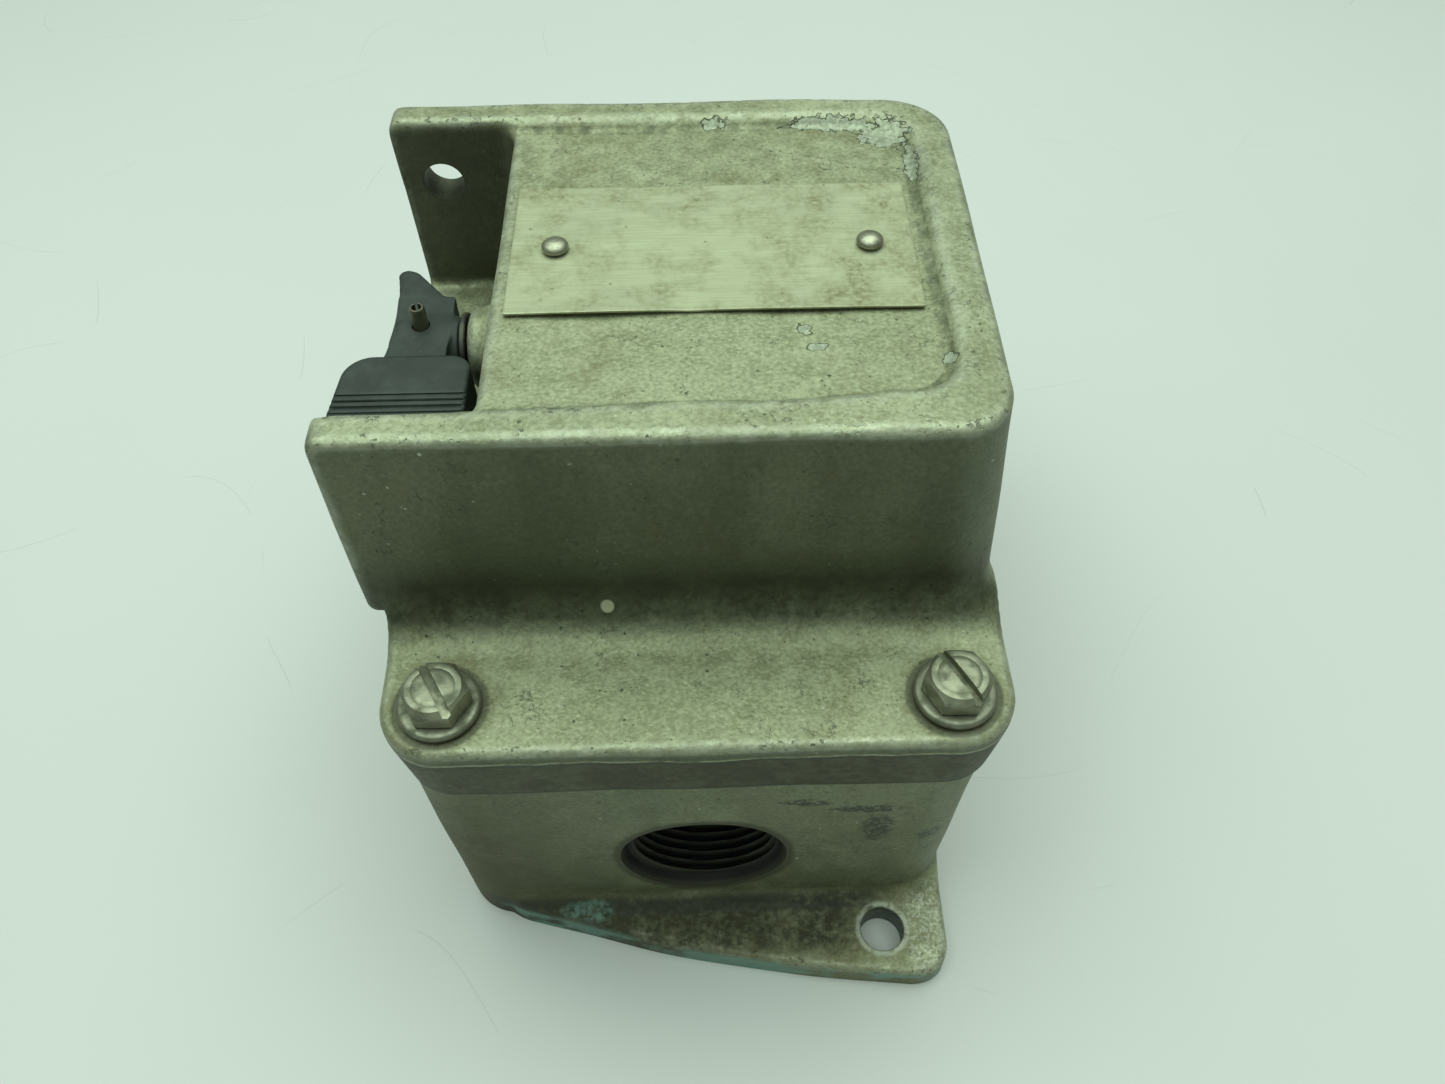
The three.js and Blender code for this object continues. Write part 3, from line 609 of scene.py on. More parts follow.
# Places where paint has flaked off the cover: centre and reach along each axis.
FLAKED_PATCHES = (
    ((31.0, 42.0, PANEL_Z), (11.0, 2.2, 4.0)),
    ((41.5, 38.5, PANEL_Z), (6.5, 5.0, 4.0)),
    ((46.0, 29.0, PANEL_Z), (1.6, 8.0, 4.0)),
    ((5.8, 42.6, PANEL_Z), (2.8, 1.6, 3.0)),
    ((20.6, -21.8, PANEL_Z), (1.7, 1.8, 2.0)),
    ((22.6, -26.4, PANEL_Z), (2.2, 1.2, 2.0)),
    ((45.6, -30.5, PANEL_Z), (1.7, 1.6, 2.0)),
)
# Dark smears on the base's near wall, given in the same way.
WALL_SMEARS = (
    ((21.0, -79.0, 59.0), (6.0, 5.0, 1.6)),
    ((36.0, -79.0, 47.0), (3.0, 5.0, 7.0)),
    ((47.5, -78.0, 41.0), (2.4, 6.0, 3.0)),
    ((34.0, -79.0, 56.0), (8.0, 5.0, 1.8)),
)


class CastPaint(Finish):
    """Aged aluminium paint over a sand casting, with painted shade and painted glints, built up
    layer by layer.
    """

    def __init__(self, name):
        super().__init__(name)
        fine = self.noise(0.8, 3, shift=23)
        medium = self.noise(4.5, 4, shift=13)
        cloud = self.noise(34, 3)
        mottle = self.plus(self.plus(self.times(cloud, 0.28), medium, 0.28), fine, 0.44)
        self.color = self.mix(self.fade(mottle, 0.41, 0.59), PAINT_DARK, PAINT_LIGHT)
        self.dull = self.fade(medium, 0.40, 0.75)
        self.upward = self.fade(self.facing("Z"), 0.05, 0.55)
        self.side = self.math("SUBTRACT", 1.0, self.upward)
        self.relief = [(self.noise(0.7, 3, shift=61), 0.09), (self.noise(3.0, 3, shift=71), 0.14)]

    def cover_with(self, color, *shares, dullness=0.0):
        """Lays a colour over the paint, as strongly as the product of the shares."""
        share = self.times(*shares)
        self.color = self.mix(share, self.color, color)
        if dullness:
            self.dull = self.most(self.dull, self.times(share, dullness))

    def sink(self, share, depth):
        """Lowers the surface by depth millimetres where share is 1."""
        self.relief.append((self.math("SUBTRACT", 0.0, share), depth))

    def nearest(self, places, raggedness):
        """Distance from the nearest of some marks, made ragged."""
        shape = None
        for centre, reach in places:
            one = self.plus(self.near(centre, reach), raggedness)
            shape = one if shape is None else self.math("MINIMUM", shape, one)
        return shape

    def age_and_shade(self, wall_low, wall_high):
        """Painted shade and dirt on walls and in hollows, oily stains on top, pits, painted glints
        and rubbed edges.
        """
        drips = self.patches(0.36, 0.70, 13, 4, stretch=(1, 1, 0.3), shift=21)
        patchy = self.plus(self.times(drips, 0.5), self.patches(0.3, 0.7, 0.9, shift=27), 0.5)
        # painted shade: side walls darkened by the way they face, broken up by dirty drips
        shade_and_drips = self.spread(patchy, wall_low, wall_high)
        self.cover_with(GRIME_AND_SHADE, self.side, shade_and_drips, dullness=0.5)
        stain = self.plus(self.noise(8, 5, shift=11), self.noise(32, 2, shift=5), 0.9)
        stain = self.times(self.fade(stain, 0.96, 1.21), self.patches(0.30, 0.70, 1.2, shift=3))
        self.cover_with(OIL_BROWN, stain, self.spread(self.upward, 0.35, 0.70), dullness=0.8)
        crack = self.math("ABSOLUTE", self.math("SUBTRACT", self.noise(3.4, 4, shift=37), 0.5))
        crack = self.fade(crack, 0.016, 0.007)
        self.cover_with(SOOT_AND_SHADE, crack, self.patches(0.55, 0.61, 9, shift=39), 0.55)
        # painted shade in hollows and fillets, broken up with crumbly dirt
        crevice = self.fade(self.layer("hollow"), 0.10, 0.40)
        crumbly = self.patches(0.30, 0.62, 2.5, 4, shift=8)
        self.cover_with(GRIME_AND_SHADE, crevice, crumbly, 0.70, dullness=1.0)
        pits = self.most(self.specks(2.3, 0.07, 2), self.specks(1.1, 0.05, 17))
        self.cover_with(SOOT_AND_SHADE, pits, 0.7)
        self.sink(pits, 0.18)
        rubbed = self.spread(self.patches(0.36, 0.66, 2.6, 4, shift=31), 0.35, 1.0)
        rubbed = self.times(self.fade(self.layer("edge"), 0.05, 0.40), rubbed)
        # glints are painted highlights: sparse silvery specks laid into the colour
        glints = self.specks(3.1, 0.04, 53)
        self.bare_and_glints = self.most(self.times(rubbed, 0.45), self.times(glints, 0.9))
        self.cover_with(BARE_METAL, self.bare_and_glints, 0.6)
        nicks = self.times(self.patches(0.60, 0.66, 1.6, 4, shift=57),
                           self.patches(0.50, 0.58, 15, 2, shift=59),
                           self.fade(self.layer("edge"), 0.14, 0.40))
        self.cover_with(SOOT_AND_SHADE, nicks, 0.45)
        self.sink(nicks, 0.20)

    def done(self):
        rough = self.spread(self.dull, 0.46, 0.66)
        rough = self.math("SUBTRACT", rough, self.times(self.bare_and_glints, 0.10))
        return self.finish(self.color, rough, self.spread(self.dull, 0.50, 0.22), self.relief)


def paint_seam(f, ragged):
    """The mould seam's light flash line, with painted shade and dirt on the flange's edge below it,
    and a painted shadow line along the joint.
    """
    seam = f.plus(f.axis("Z"), f.noise(8, 4, shift=97), 1.8)
    from_seam = f.math("SUBTRACT", seam, SEAM_Z + 0.9)
    uneven = f.spread(f.fade(ragged, 0.76, 1.16), 0.50, 1.0)
    f.cover_with(BAND_DIRT, f.fade(from_seam, -0.3, -0.6), f.side, uneven, 0.92, dullness=0.6)
    # painted shadow: a dark line just under the flash ridge
    f.cover_with(SOOT_AND_SHADE, f.fade(from_seam, -0.25, -0.5), f.fade(from_seam, -1.3, -0.7), f.side, 0.75)
    flash = f.times(f.fade(from_seam, -0.30, -0.05), f.fade(from_seam, 0.50, 0.15), f.side)
    f.cover_with(PAINT_LIGHT, flash, f.fade(ragged, 0.75, 1.05), 0.70)
    f.relief.append((f.fade(from_seam, -0.45, -0.05), 0.30))
    # painted shadow in the joint gap along the flange's lower edge
    f.cover_with(SOOT_AND_SHADE, f.along("Z", JOINT_Z + 1.0, JOINT_Z + 0.2), f.side, 0.8)


def paint_hollows(f, ragged):
    """Painted shade at the near wall's foot and on the lever pocket's walls, and dark metal with
    painted shade in the padlock hole.
    """
    # painted shade along the foot of the near wall and the flange next to it
    low_wall = f.times(f.between("Z", FLANGE_TOP + 1.5, FLANGE_TOP + 10.0, 9.0),
                       f.along("Y", -45.0, -49.0), f.along("Y", -59.5, -54.0))
    f.cover_with(WALL_FOOT_SHADE, low_wall, f.spread(f.fade(ragged, 0.80, 1.20), 0.66, 0.92))
    # painted shade on the lever pocket's walls
    pocket = f.times(f.along("X", PANEL_LEFT + 0.4, PANEL_LEFT - 0.4), f.side,
                     f.between("Y", -PANEL_HALF_Y - 0.6, PANEL_HALF_Y + 0.6, 0.4),
                     f.between("Z", POCKET_FLOOR, PANEL_Z, 1.0))
    uneven = f.spread(f.fade(ragged, 0.84, 1.16), 0.62, 0.92)
    f.cover_with(POCKET_SHADE, pocket, uneven, dullness=1.0)
    # dark metal and painted shade inside the padlock hole
    from_hole = f.near((PADLOCK_X, DOME_HALF_Y_TOP, PADLOCK_Z), (1, 40, 1))
    hole = f.fade(from_hole, PADLOCK_R + 0.35, PADLOCK_R + 0.15)
    f.cover_with(PADLOCK_METAL_AND_SHADE, hole, f.along("Y", 38, 40), 0.85)


def paint_marks(f, ragged):
    """Stains around the screws, a dark ring of dirt and painted contact shadow round each spot
    face, a dirty wing tip and one pale splash on the near wall.
    """
    for site in SCREW_SITES:
        seat = (*site[:2], FLANGE_TOP)
        halo = f.plus(f.near(seat, (SPOT_FACE_R, SPOT_FACE_R, 6)), ragged, 0.7)
        f.cover_with(OIL_BROWN, f.fade(halo, 2.05, 1.45), f.upward, 0.75, dullness=0.7)
        # a dark ring of dirt and painted contact shadow around the spot face
        ring = f.fade(f.near(seat, (1, 1, 6)), SPOT_FACE_R + 0.7, SPOT_FACE_R + 0.1)
        f.cover_with(SOOT_AND_SHADE, ring, f.upward, 0.60, dullness=0.7)
    tip = f.plus(f.near((COVER_LOW.x, -47.5, DOME_TOP - 2.0), (2.6, 2.6, 2.6)), ragged, 0.8)
    f.cover_with(SOOT_AND_SHADE, f.fade(tip, 1.9, 1.5), f.patches(0.35, 0.55, 1.2), 0.6)
    splash = f.near((-16.8, -53.0, FLANGE_TOP + 4.9), (1.15, 1.25, 1.25))
    f.cover_with(PALE_SPLASH, f.fade(splash, 1.25, 0.95))


def flake_paint(f):
    """Bare patches with dark torn rims, where paint has come off the panel."""
    below_rim = f.along("Z", PANEL_Z + 2.3, PANEL_Z + 1.5)
    torn = f.plus(f.times(f.noise(1.5, 5, shift=81), 1.8), f.noise(5.0, 2, shift=83), 0.6)
    shape = f.nearest(FLAKED_PATCHES, torn)
    flaked = f.times(f.fade(shape, 1.98, 1.93), below_rim)
    rim = f.times(f.fade(shape, 2.10, 1.97), below_rim, f.patches(0.38, 0.48, 2.6, shift=86))
    f.cover_with(SOOT_AND_SHADE, rim, 0.88)
    metal = f.mix(f.patches(0.40, 0.62, 1.0, 4, shift=91), FLAKED_DARK, FLAKED_LIGHT)
    f.cover_with(metal, flaked, 0.9)
    f.sink(f.most(rim, flaked), 0.30)


def cover_finish():
    f = CastPaint("cast_aluminium")
    f.age_and_shade(0.72, 1.0)
    ragged = f.plus(f.noise(1.6, 4, shift=27), f.noise(9.0, 3, shift=28))
    paint_seam(f, ragged)
    paint_hollows(f, ragged)
    paint_marks(f, ragged)
    flake_paint(f)
    return f.done()


def paint_ears(f, ragged):
    """Brown low down, painted shade where the near ear meets the wall, teal and worn places on it,
    and both holes with worn rims and painted shade inside.
    """
    wall_foot = f.times(f.along("Z", EAR_TOP + 9.0, EAR_TOP + 1.0), f.fade(ragged, 0.80, 1.15))
    f.cover_with(OIL_BROWN, wall_foot, 0.45, dullness=0.9)
    # painted shade over the ear where it lies next to the wall, broken up
    root = f.times(f.between("Y", -89.0, -76.0, 5.0), f.along("Z", EAR_TOP + 3.0, EAR_TOP + 1.0),
                   f.along("X", 46.0, 30.0))
    broken = f.plus(f.noise(1.3, 5, shift=47), f.noise(7, 3, stretch=(1, 0.4, 1), shift=48), 0.9)
    f.cover_with(EAR_SHADE, root, f.fade(broken, 0.45, 1.08), 0.94, dullness=1.0)
    # painted shade in the crease where the ear meets the wall
    corner = f.times(f.along("Z", EAR_TOP + 4.0, EAR_TOP + 1.8),
                     f.between("Y", -81.0, -77.5, 1.2), f.along("X", 44.0, 34.0))
    f.cover_with(SOOT_AND_SHADE, corner, f.fade(ragged, 0.66, 0.96), 0.70, dullness=1.0)
    edge = f.times(f.along("Z", EAR_TOP - 0.4, EAR_TOP - 2.2), f.along("Y", -77.0, -78.5))
    f.cover_with(TEAL, edge, f.patches(0.47, 0.56, 9, 4, stretch=(0.5, 1, 1), shift=15), 0.75)
    spot = f.plus(f.near((-26.5, -80.5, EAR_TOP), (6.0, 2.4, 3.0)), ragged, 0.8)
    f.cover_with(TEAL, f.fade(spot, 1.95, 1.50), f.patches(0.36, 0.58, 1.4, 4, shift=18), 0.60)
    worn = f.plus(f.near((51, -87, EAR_TOP), (6.5, 11, 4)), ragged, 0.6)
    f.cover_with(BARE_METAL, f.fade(worn, 1.75, 1.25), f.patches(0.46, 0.64, 0.7, shift=44), 0.62)
    for turn in (1, -1):
        from_hole = f.near((turn * EAR_HOLE_X, -turn * EAR_HOLE_Y, 0), (1, 1, 60))
        ring = f.fade(from_hole, EAR_HOLE_R + 1.6, EAR_HOLE_R + 0.9)
        f.cover_with(BARE_METAL, ring, f.patches(0.36, 0.54, 2.0, shift=51), 0.55)
        # painted shade and dirt inside the ear hole
        f.cover_with(SOOT_AND_SHADE, f.fade(from_hole, EAR_HOLE_R + 0.3, EAR_HOLE_R + 0.1), 0.75)


def paint_conduit(f, ragged):
    """Dirt and painted shade around the tapped mouth, painted shade in the bore, and near-black
    painted shade in the thread grooves.
    """
    from_bore = f.near((0, 0, CONDUIT_Z), (1, 900, 1))
    # dirt and painted shade in the countersunk mouth
    mouth = f.fade(f.plus(from_bore, ragged, 1.6), 21.8, 20.6)
    f.cover_with(MOUTH_DIRT_AND_SHADE, mouth, f.side, 0.80, dullness=1.0)
    # painted shade inside the bore
    bore = f.fade(from_bore, THREAD_ROOT_R + 1.3, THREAD_ROOT_R + 1.0)
    f.cover_with(BORE_SHADE, bore, dullness=0.4)
    # painted shade in the thread grooves
    grooves = f.times(f.fade(from_bore, THREAD_ROOT_R - 1.4, THREAD_ROOT_R - 0.7),
                      f.fade(from_bore, THREAD_ROOT_R + 0.7, THREAD_ROOT_R + 0.3))
    f.cover_with(GROOVE_SHADE, grooves, dullness=0.4)


def base_finish():
    f = CastPaint("cast_aluminium_base")
    f.age_and_shade(0.46, 0.84)
    ragged = f.plus(f.noise(1.8, 4, shift=27), f.noise(7.0, 3, shift=28))
    low_left = f.plus(f.near((-62, -78, 18), (32, 34, 50)), ragged, 0.6)
    f.cover_with(CORNER_OCHRE, f.fade(low_left, 2.3, 1.1), 0.90, dullness=0.8)
    paint_ears(f, ragged)
    smear = f.nearest(WALL_SMEARS, f.plus(f.noise(2.2, 4, shift=5), f.noise(6, 3, shift=6)))
    f.cover_with(SOOT_AND_SHADE, f.fade(smear, 2.15, 1.80), f.patches(0.36, 0.54, 1.0, 4), 0.85)
    paint_conduit(f, ragged)
    return f.done()


def scaled(color, factor):
    return tuple(channel * factor for channel in color)


def bright_steel(name, base, dirt_share, rough_low, rough_high, stretch=(1, 1, 1)):
    """Plated steel with tool marks, fine scratches and grime settled into it."""
    f = Finish(name)
    lines = f.noise(0.5, 2, stretch=stretch)
    worn = f.fade(f.plus(f.noise(2.4, 4, shift=4), lines, 0.3), 0.45, 0.85)
    dirt = f.patches(0.62 - dirt_share * 0.3, 0.74 - dirt_share * 0.2, 3.2, 5, shift=14)
    color = f.mix(worn, scaled(base, 0.72), base)
    color = f.mix(f.times(dirt, 0.7), color, GRIME_AND_SHADE)
    rough = f.spread(f.most(dirt, f.noise(1.2, 3, shift=24)), rough_low, rough_high)
    metallic = f.spread(dirt, 0.85, 0.30)
    return f.finish(color, rough, metallic, [(lines, 0.02), (f.noise(0.9, 3, shift=34), 0.03)])


def nameplate_finish():
    """Blank brushed sheet with brown stains."""
    f = Finish("nameplate_metal")
    brushed = f.noise(0.45, 3, stretch=(0.05, 1, 1))
    band = f.noise(5, 2, stretch=(0.12, 1, 1), shift=9)
    color = f.mix(f.fade(f.plus(brushed, band, 0.5), 0.40, 1.1), PLATE_DARK, PLATE_LIGHT)
    stain = f.fade(f.plus(f.noise(6, 6, shift=3), f.noise(26, 2, shift=6), 0.7), 0.74, 1.06)
    broken = f.patches(0.25, 0.70, 1.0, 4, shift=12)
    color = f.mix(f.times(stain, broken, 0.90), color, PLATE_STAIN)
    color = f.mix(f.times(f.specks(2.6, 0.06, 8), 0.6), color, PLATE_SPOT)
    relief = [(brushed, 0.02), (f.noise(5, 3), 0.10)]
    return f.finish(color, f.spread(stain, 0.52, 0.60), f.spread(stain, 0.55, 0.40), relief)


def moulded(name, base, dust, rough_low, rough_high):
    """Matte moulding with a fine eroded grain, pale dust and a little handling shine."""
    f = Finish(name)
    color = f.mix(f.patches(0.35, 0.65, 7, 4), scaled(base, 0.82), scaled(base, 1.15))
    film = f.fade(f.plus(f.noise(2.6, 5, shift=7), f.noise(11, 2, shift=19), 0.6), 0.78, 1.02)
    color = f.mix(f.times(film, dust), color, DUST_FILM)
    color = f.mix(f.times(f.specks(2.2, 0.05, 23), 0.4), color, DUST_DOT)
    rough = f.spread(f.most(f.noise(1.4, 3, shift=29), film), rough_low, rough_high)
    relief = [(f.noise(0.35, 2), 0.035), (f.noise(2.5, 2, shift=2), 0.05)]
    return f.finish(color, rough, 0.0, relief)


def cast_plug():
    f = Finish("zinc_plug")
    color = f.mix(f.patches(0.35, 0.65, 5, 4), ZINC_DARK, ZINC_LIGHT)
    dirt = f.patches(0.50, 0.66, 3, 5, shift=6)
    color = f.mix(f.times(dirt, 0.7), color, GRIME_AND_SHADE)
    return f.finish(color, f.spread(dirt, 0.42, 0.68), 0.7, [(f.noise(0.8, 3), 0.08)])


FINISHES = {
    "cast_aluminium": cover_finish(),
    "screw_steel": bright_steel("screw_steel", (0.36, 0.365, 0.265), 0.50, 0.36, 0.54),
    "washer_steel": bright_steel("washer_steel", (0.32, 0.325, 0.245), 0.60, 0.38, 0.56),
    "nameplate_metal": nameplate_finish(),
    "rivet_steel": bright_steel("rivet_steel", (0.44, 0.44, 0.33), 0.35, 0.28, 0.46),
    "lever_plastic": moulded("lever_plastic", (0.027, 0.038, 0.032), 0.06, 0.50, 0.64),
    "spring_steel": bright_steel("spring_steel", (0.17, 0.155, 0.115), 0.60, 0.34, 0.56),
    "shaft_steel": bright_steel("shaft_steel", (0.42, 0.38, 0.30), 0.60, 0.30, 0.55, (0.3, 1, 1)),
    "dark_steel": bright_steel("dark_steel", (0.085, 0.085, 0.080), 0.30, 0.38, 0.60),
    "zinc_steel": bright_steel("zinc_steel", (0.55, 0.56, 0.53), 0.20, 0.28, 0.45, (1, 0.2, 1)),
    "zinc_plug": cast_plug(),
    "bronze": bright_steel("bronze", (0.50, 0.33, 0.15), 0.35, 0.30, 0.50),
    "brass": bright_steel("brass", (0.62, 0.47, 0.20), 0.20, 0.24, 0.42),
    "copper": bright_steel("copper", (0.60, 0.33, 0.20), 0.30, 0.28, 0.48, (1, 0.15, 1)),
    "phenolic": moulded("phenolic", (0.030, 0.026, 0.022), 0.06, 0.38, 0.55),
}
BASE_FINISH = base_finish()

for node, obj in frame["nodes"].items():
    obj.data.materials.clear()
    obj.data.materials.append(FINISHES[SLOT_OF[node]])

# ---------------------------------------------------------------- castings


def thread_cutter(inner, outer, face):
    """Tapered thread along Y from inner to outer, with a lead-in cone up to the wall face."""
    steps, per_pitch = 96, 10
    cone_depth, cone_r, cone_slope, taper = 3.0, 17.9, 0.55, 1 / 32
    side = 1 if outer > inner else -1
    length = abs(outer - inner)
    rings = int(length / THREAD_PITCH * per_pitch)
    sections = []
    for k in range(rings + 1):
        along = length * k / rings
        depth = abs(face - inner) - along
        outline = []
        for i in range(steps):
            turn = i / steps
            phase = (along / THREAD_PITCH - side * turn) % 1.0
            wave = abs(2 * phase - 1) * 1.25 - 0.125
            narrowing = max(depth, 0)
            crest = THREAD_ROOT_R - THREAD_DEPTH * min(max(wave, 0), 1) - narrowing * taper
            cone = cone_r - narrowing * cone_slope if depth < cone_depth else 0
            r = max(crest, cone)
            a = 2 * math.pi * turn
            outline.append((r * math.cos(a) + CONDUIT_Z, r * math.sin(a)))
        sections.append((inner + side * along, outline))
    if side < 0:
        sections.reverse()
    tool = prism("tool", sections)
    tool.data.transform(AXIS_TURN["y"])
    return tool


CAVITY = rounded_outline(-CAVITY_X, CAVITY_X, -CAVITY_Y, CAVITY_Y, CAVITY_CORNER)


def make_cover():
    cover = mesh_field(
        "cast_cover", cover_field,
        (COVER_LOW.x - 3, COVER_LOW.y - 3, JOINT_Z - 6),
        (COVER_HIGH.x + 3, COVER_HIGH.y + 3, COVER_HIGH.z + 3), 0.8)
    roof = PANEL_Z - 6.5
    tools = [
        box_tool(-90, 90, -110, 110, JOINT_Z - 20, JOINT_Z),
        extrude(CAVITY, JOINT_Z - 4, CAVITY_TOP),
        prism("tool", [(CAVITY_TOP - 2, rounded_outline(*ROOM_FOOT, ROOM_CORNER)),
                       (roof, rounded_outline(*ROOM_ROOF, ROOM_CORNER))]),
        rod(BUSHING_HOLE_R, BOSS_END - 2, -20, "x", (0, SHAFT_Y, SHAFT_Z)),
        rod(PADLOCK_R, 38, 60, "y", (PADLOCK_X, 0, PADLOCK_Z), 64),
    ]
    for site in SCREW_SITES:
        tools.append(rod(COVER_HOLE_R, JOINT_Z - 4, FLANGE_TOP + 5, "z", site))
        tools.append(rod(SPOT_FACE_R, FLANGE_TOP - 0.05, FLANGE_TOP + 2.0, "z", site))
    combine(cover, tools)
    cover.data.set_sharp_from_angle(angle=math.radians(50))
    mark_relief(cover, cover_field, 1.4)
    return cover


def make_base():
    base = mesh_field(
        "cast_base", base_field,
        (BASE_LOW.x - 3, BASE_LOW.y - 3, -5),
        (BASE_HIGH.x + 3, BASE_HIGH.y + 3, BASE_HIGH.z + 4), 0.85)
    tools = [
        box_tool(-90, 90, -120, 120, -20, 0),
        box_tool(-90, 90, -120, 120, BASE_HIGH.z, BASE_HIGH.z + 20),
        extrude(CAVITY, CAVITY_FLOOR, BASE_HIGH.z + 5),
        thread_cutter(-CAVITY_Y + 2, -WALL_FACE - 4, -WALL_FACE),
        thread_cutter(CAVITY_Y - 2, WALL_FACE + 4, WALL_FACE),
    ]
    for side in (-1, 1):
        tools.append(rod(EAR_HOLE_R, -3, 12, "z", (-side * EAR_HOLE_X, side * EAR_HOLE_Y, 0)))
    for site in SCREW_SITES:
        tools.append(rod(BASE_HOLE_R, BASE_HOLE_FOOT, BASE_HIGH.z + 5, "z", site))
    combine(base, tools)
    for x, y, r, top, _, _ in FLOOR_BOSSES:
        combine(base, [rod(r, CAVITY_FLOOR - 1, top, "z", (x, y, 0))], "UNION")
    for x, y, _, top, r, bottom in FLOOR_BOSSES:
        combine(base, [rod(r, bottom, top + 2, "z", (x, y, 0))])
    base.data.set_sharp_from_angle(angle=math.radians(50))
    mark_relief(base, base_field, 1.4)
    return base


# ---------------------------------------------------------------- lever

LEVER_FACE = LEVER_HIGH.z
NECK_FACE, NECK_BOTTOM, GRIP_BOTTOM = LEVER_FACE - 0.3, LEVER_FACE - 5.0, LEVER_FACE - 9.0
GRIP_SHOULDER_Y, GRIP_WIDEST_Y = SHAFT_Y - 8.4, SHAFT_Y - 24.0
GRIP_LEFT_TOP, GRIP_LEFT_FOOT = -67.0, -68.3
GROOVE_Y, GROOVE_STEP, GROOVE_COUNT = SHAFT_Y - 19.3, 1.6, 4
NECK_RIGHT, NECK_STEP_Y, TAIL_TOP_Y = -47.9, SHAFT_Y + 9.2, SHAFT_Y + 17.8
WAIST_X, WAIST_Y, WAIST_HOLLOW = -59.1, SHAFT_Y + 2.0, 0.0075
TAIL_CUT_X, TAIL_CUT_Y, TAIL_CUT_SLOPE = -50.4, SHAFT_Y + 9.5, math.radians(39.3)
HUB_R, SHAFT_HOLE_R, PIN_HOLE_R = 6.5, 4.15, 1.85


def lever_field(x, y, z):
    """Moulded lever: a flat tail over the hub, and a thicker grip raised a little above it."""
    grip_left = ramp(np.maximum(y, GRIP_WIDEST_Y), GRIP_SHOULDER_Y, GRIP_LEFT_TOP,
                     GRIP_WIDEST_Y, GRIP_LEFT_FOOT)
    grip_plan = plan_box(x, y, grip_left, LEVER_HIGH.x, LEVER_LOW.y, GRIP_SHOULDER_Y,
                         np.where(x < -55, 5.5, 4.2))
    grip = meet(grip_plan, slab(z, GRIP_BOTTOM, LEVER_FACE), 0.8)
    underside = meet(grip_plan + 1.5, slab(z, GRIP_BOTTOM - 4, GRIP_BOTTOM + 0.8), 0.5)
    grip = carve(grip, underside, 0.4)
    left_edge = WAIST_X - WAIST_HOLLOW * (y - WAIST_Y) ** 2
    block = plan_box(x, y, left_edge, NECK_RIGHT, GRIP_SHOULDER_Y - 3, NECK_STEP_Y, 0.7)
    cut = (x - TAIL_CUT_X) * math.cos(TAIL_CUT_SLOPE) + (y - TAIL_CUT_Y) * math.sin(TAIL_CUT_SLOPE)
    tail = meet(plan_box(x, y, left_edge, NECK_RIGHT, SHAFT_Y - 6, TAIL_TOP_Y, 2.2), cut, 1.4)
    neck = meet(blend_in(block, tail, 0.8), slab(z, NECK_BOTTOM, NECK_FACE), 0.30)
    body = np.minimum(neck, grip)
    hub = meet(np.hypot(y - SHAFT_Y, z - SHAFT_Z) - HUB_R, slab(x, LEVER_LOW.x + 9.6, -46.2), 0.5)
    body = blend_in(body, hub, 1.2)
    for i in range(GROOVE_COUNT):
        groove_y = GROOVE_Y - i * GROOVE_STEP
        groove = meet(np.abs(y - groove_y) - 0.30, LEVER_FACE - 0.5 - z, 0.1)
        body = carve(body, groove, 0.18)
    return body


def make_lever():
    lever = mesh_field(
        "moulded_lever", lever_field,
        (LEVER_LOW.x - 1.2, LEVER_LOW.y - 1.2, LEVER_LOW.z - 1.2),
        (LEVER_HIGH.x + 1.2, LEVER_HIGH.y + 1.2, LEVER_HIGH.z + 1.2), 0.34)
    combine(lever, [
        rod(SHAFT_HOLE_R, SHAFT_END - 0.3, -40, "x", (0, SHAFT_Y, SHAFT_Z)),
        rod(PIN_HOLE_R, 95, 130, "z", foot("lever_roll_pin")),
    ])
    lever.data.set_sharp_from_angle(angle=math.radians(48))
    return lever


def make_roll_pin():
    """A rolled pin: an open C in section, with both ends chamfered."""
    low, high = mm_box("lever_roll_pin")
    pin = middle("lever_roll_pin")
    outer = (high.x - low.x) / 2
    inner = outer - 0.62
    slit = math.radians(14)
    turn = math.radians(100)
    steps = 36

    def section(shave):
        angles = [turn + slit + (2 * math.pi - 2 * slit) * i / steps for i in range(steps + 1)]
        return [
            (pin.x + r * math.cos(a), pin.y + r * math.sin(a))
            for r, row in ((outer - shave, angles), (inner, angles[::-1]))
            for a in row
        ]

    bottom, top, lead = low.z, high.z + 0.8, 0.6
    return soften(prism("roll_pin", [
        (bottom, section(0.25)), (bottom + lead, section(0)),
        (top - lead, section(0)), (top, section(0.22)),
    ]), 0.07, 2, 40)


# ---------------------------------------------------------------- fasteners

SLOT_ANGLE = {"near_left": 119, "near_right": 118, "far_right": 20, "far_left": 70}
ACROSS_FLATS, HEAD_TOP_R, SHANK_R, SCREW_PITCH = 11.1, 5.2, 3.1, 1.27
SLOT_WIDTH, SLOT_DEPTH = 1.7, 1.75


def spun(outline, degrees, centre):
    """The outline turned about the origin, then moved to the centre."""
    c, s = math.cos(math.radians(degrees)), math.sin(math.radians(degrees))
    return [(centre[0] + u * c - v * s, centre[1] + u * s + v * c) for u, v in outline]


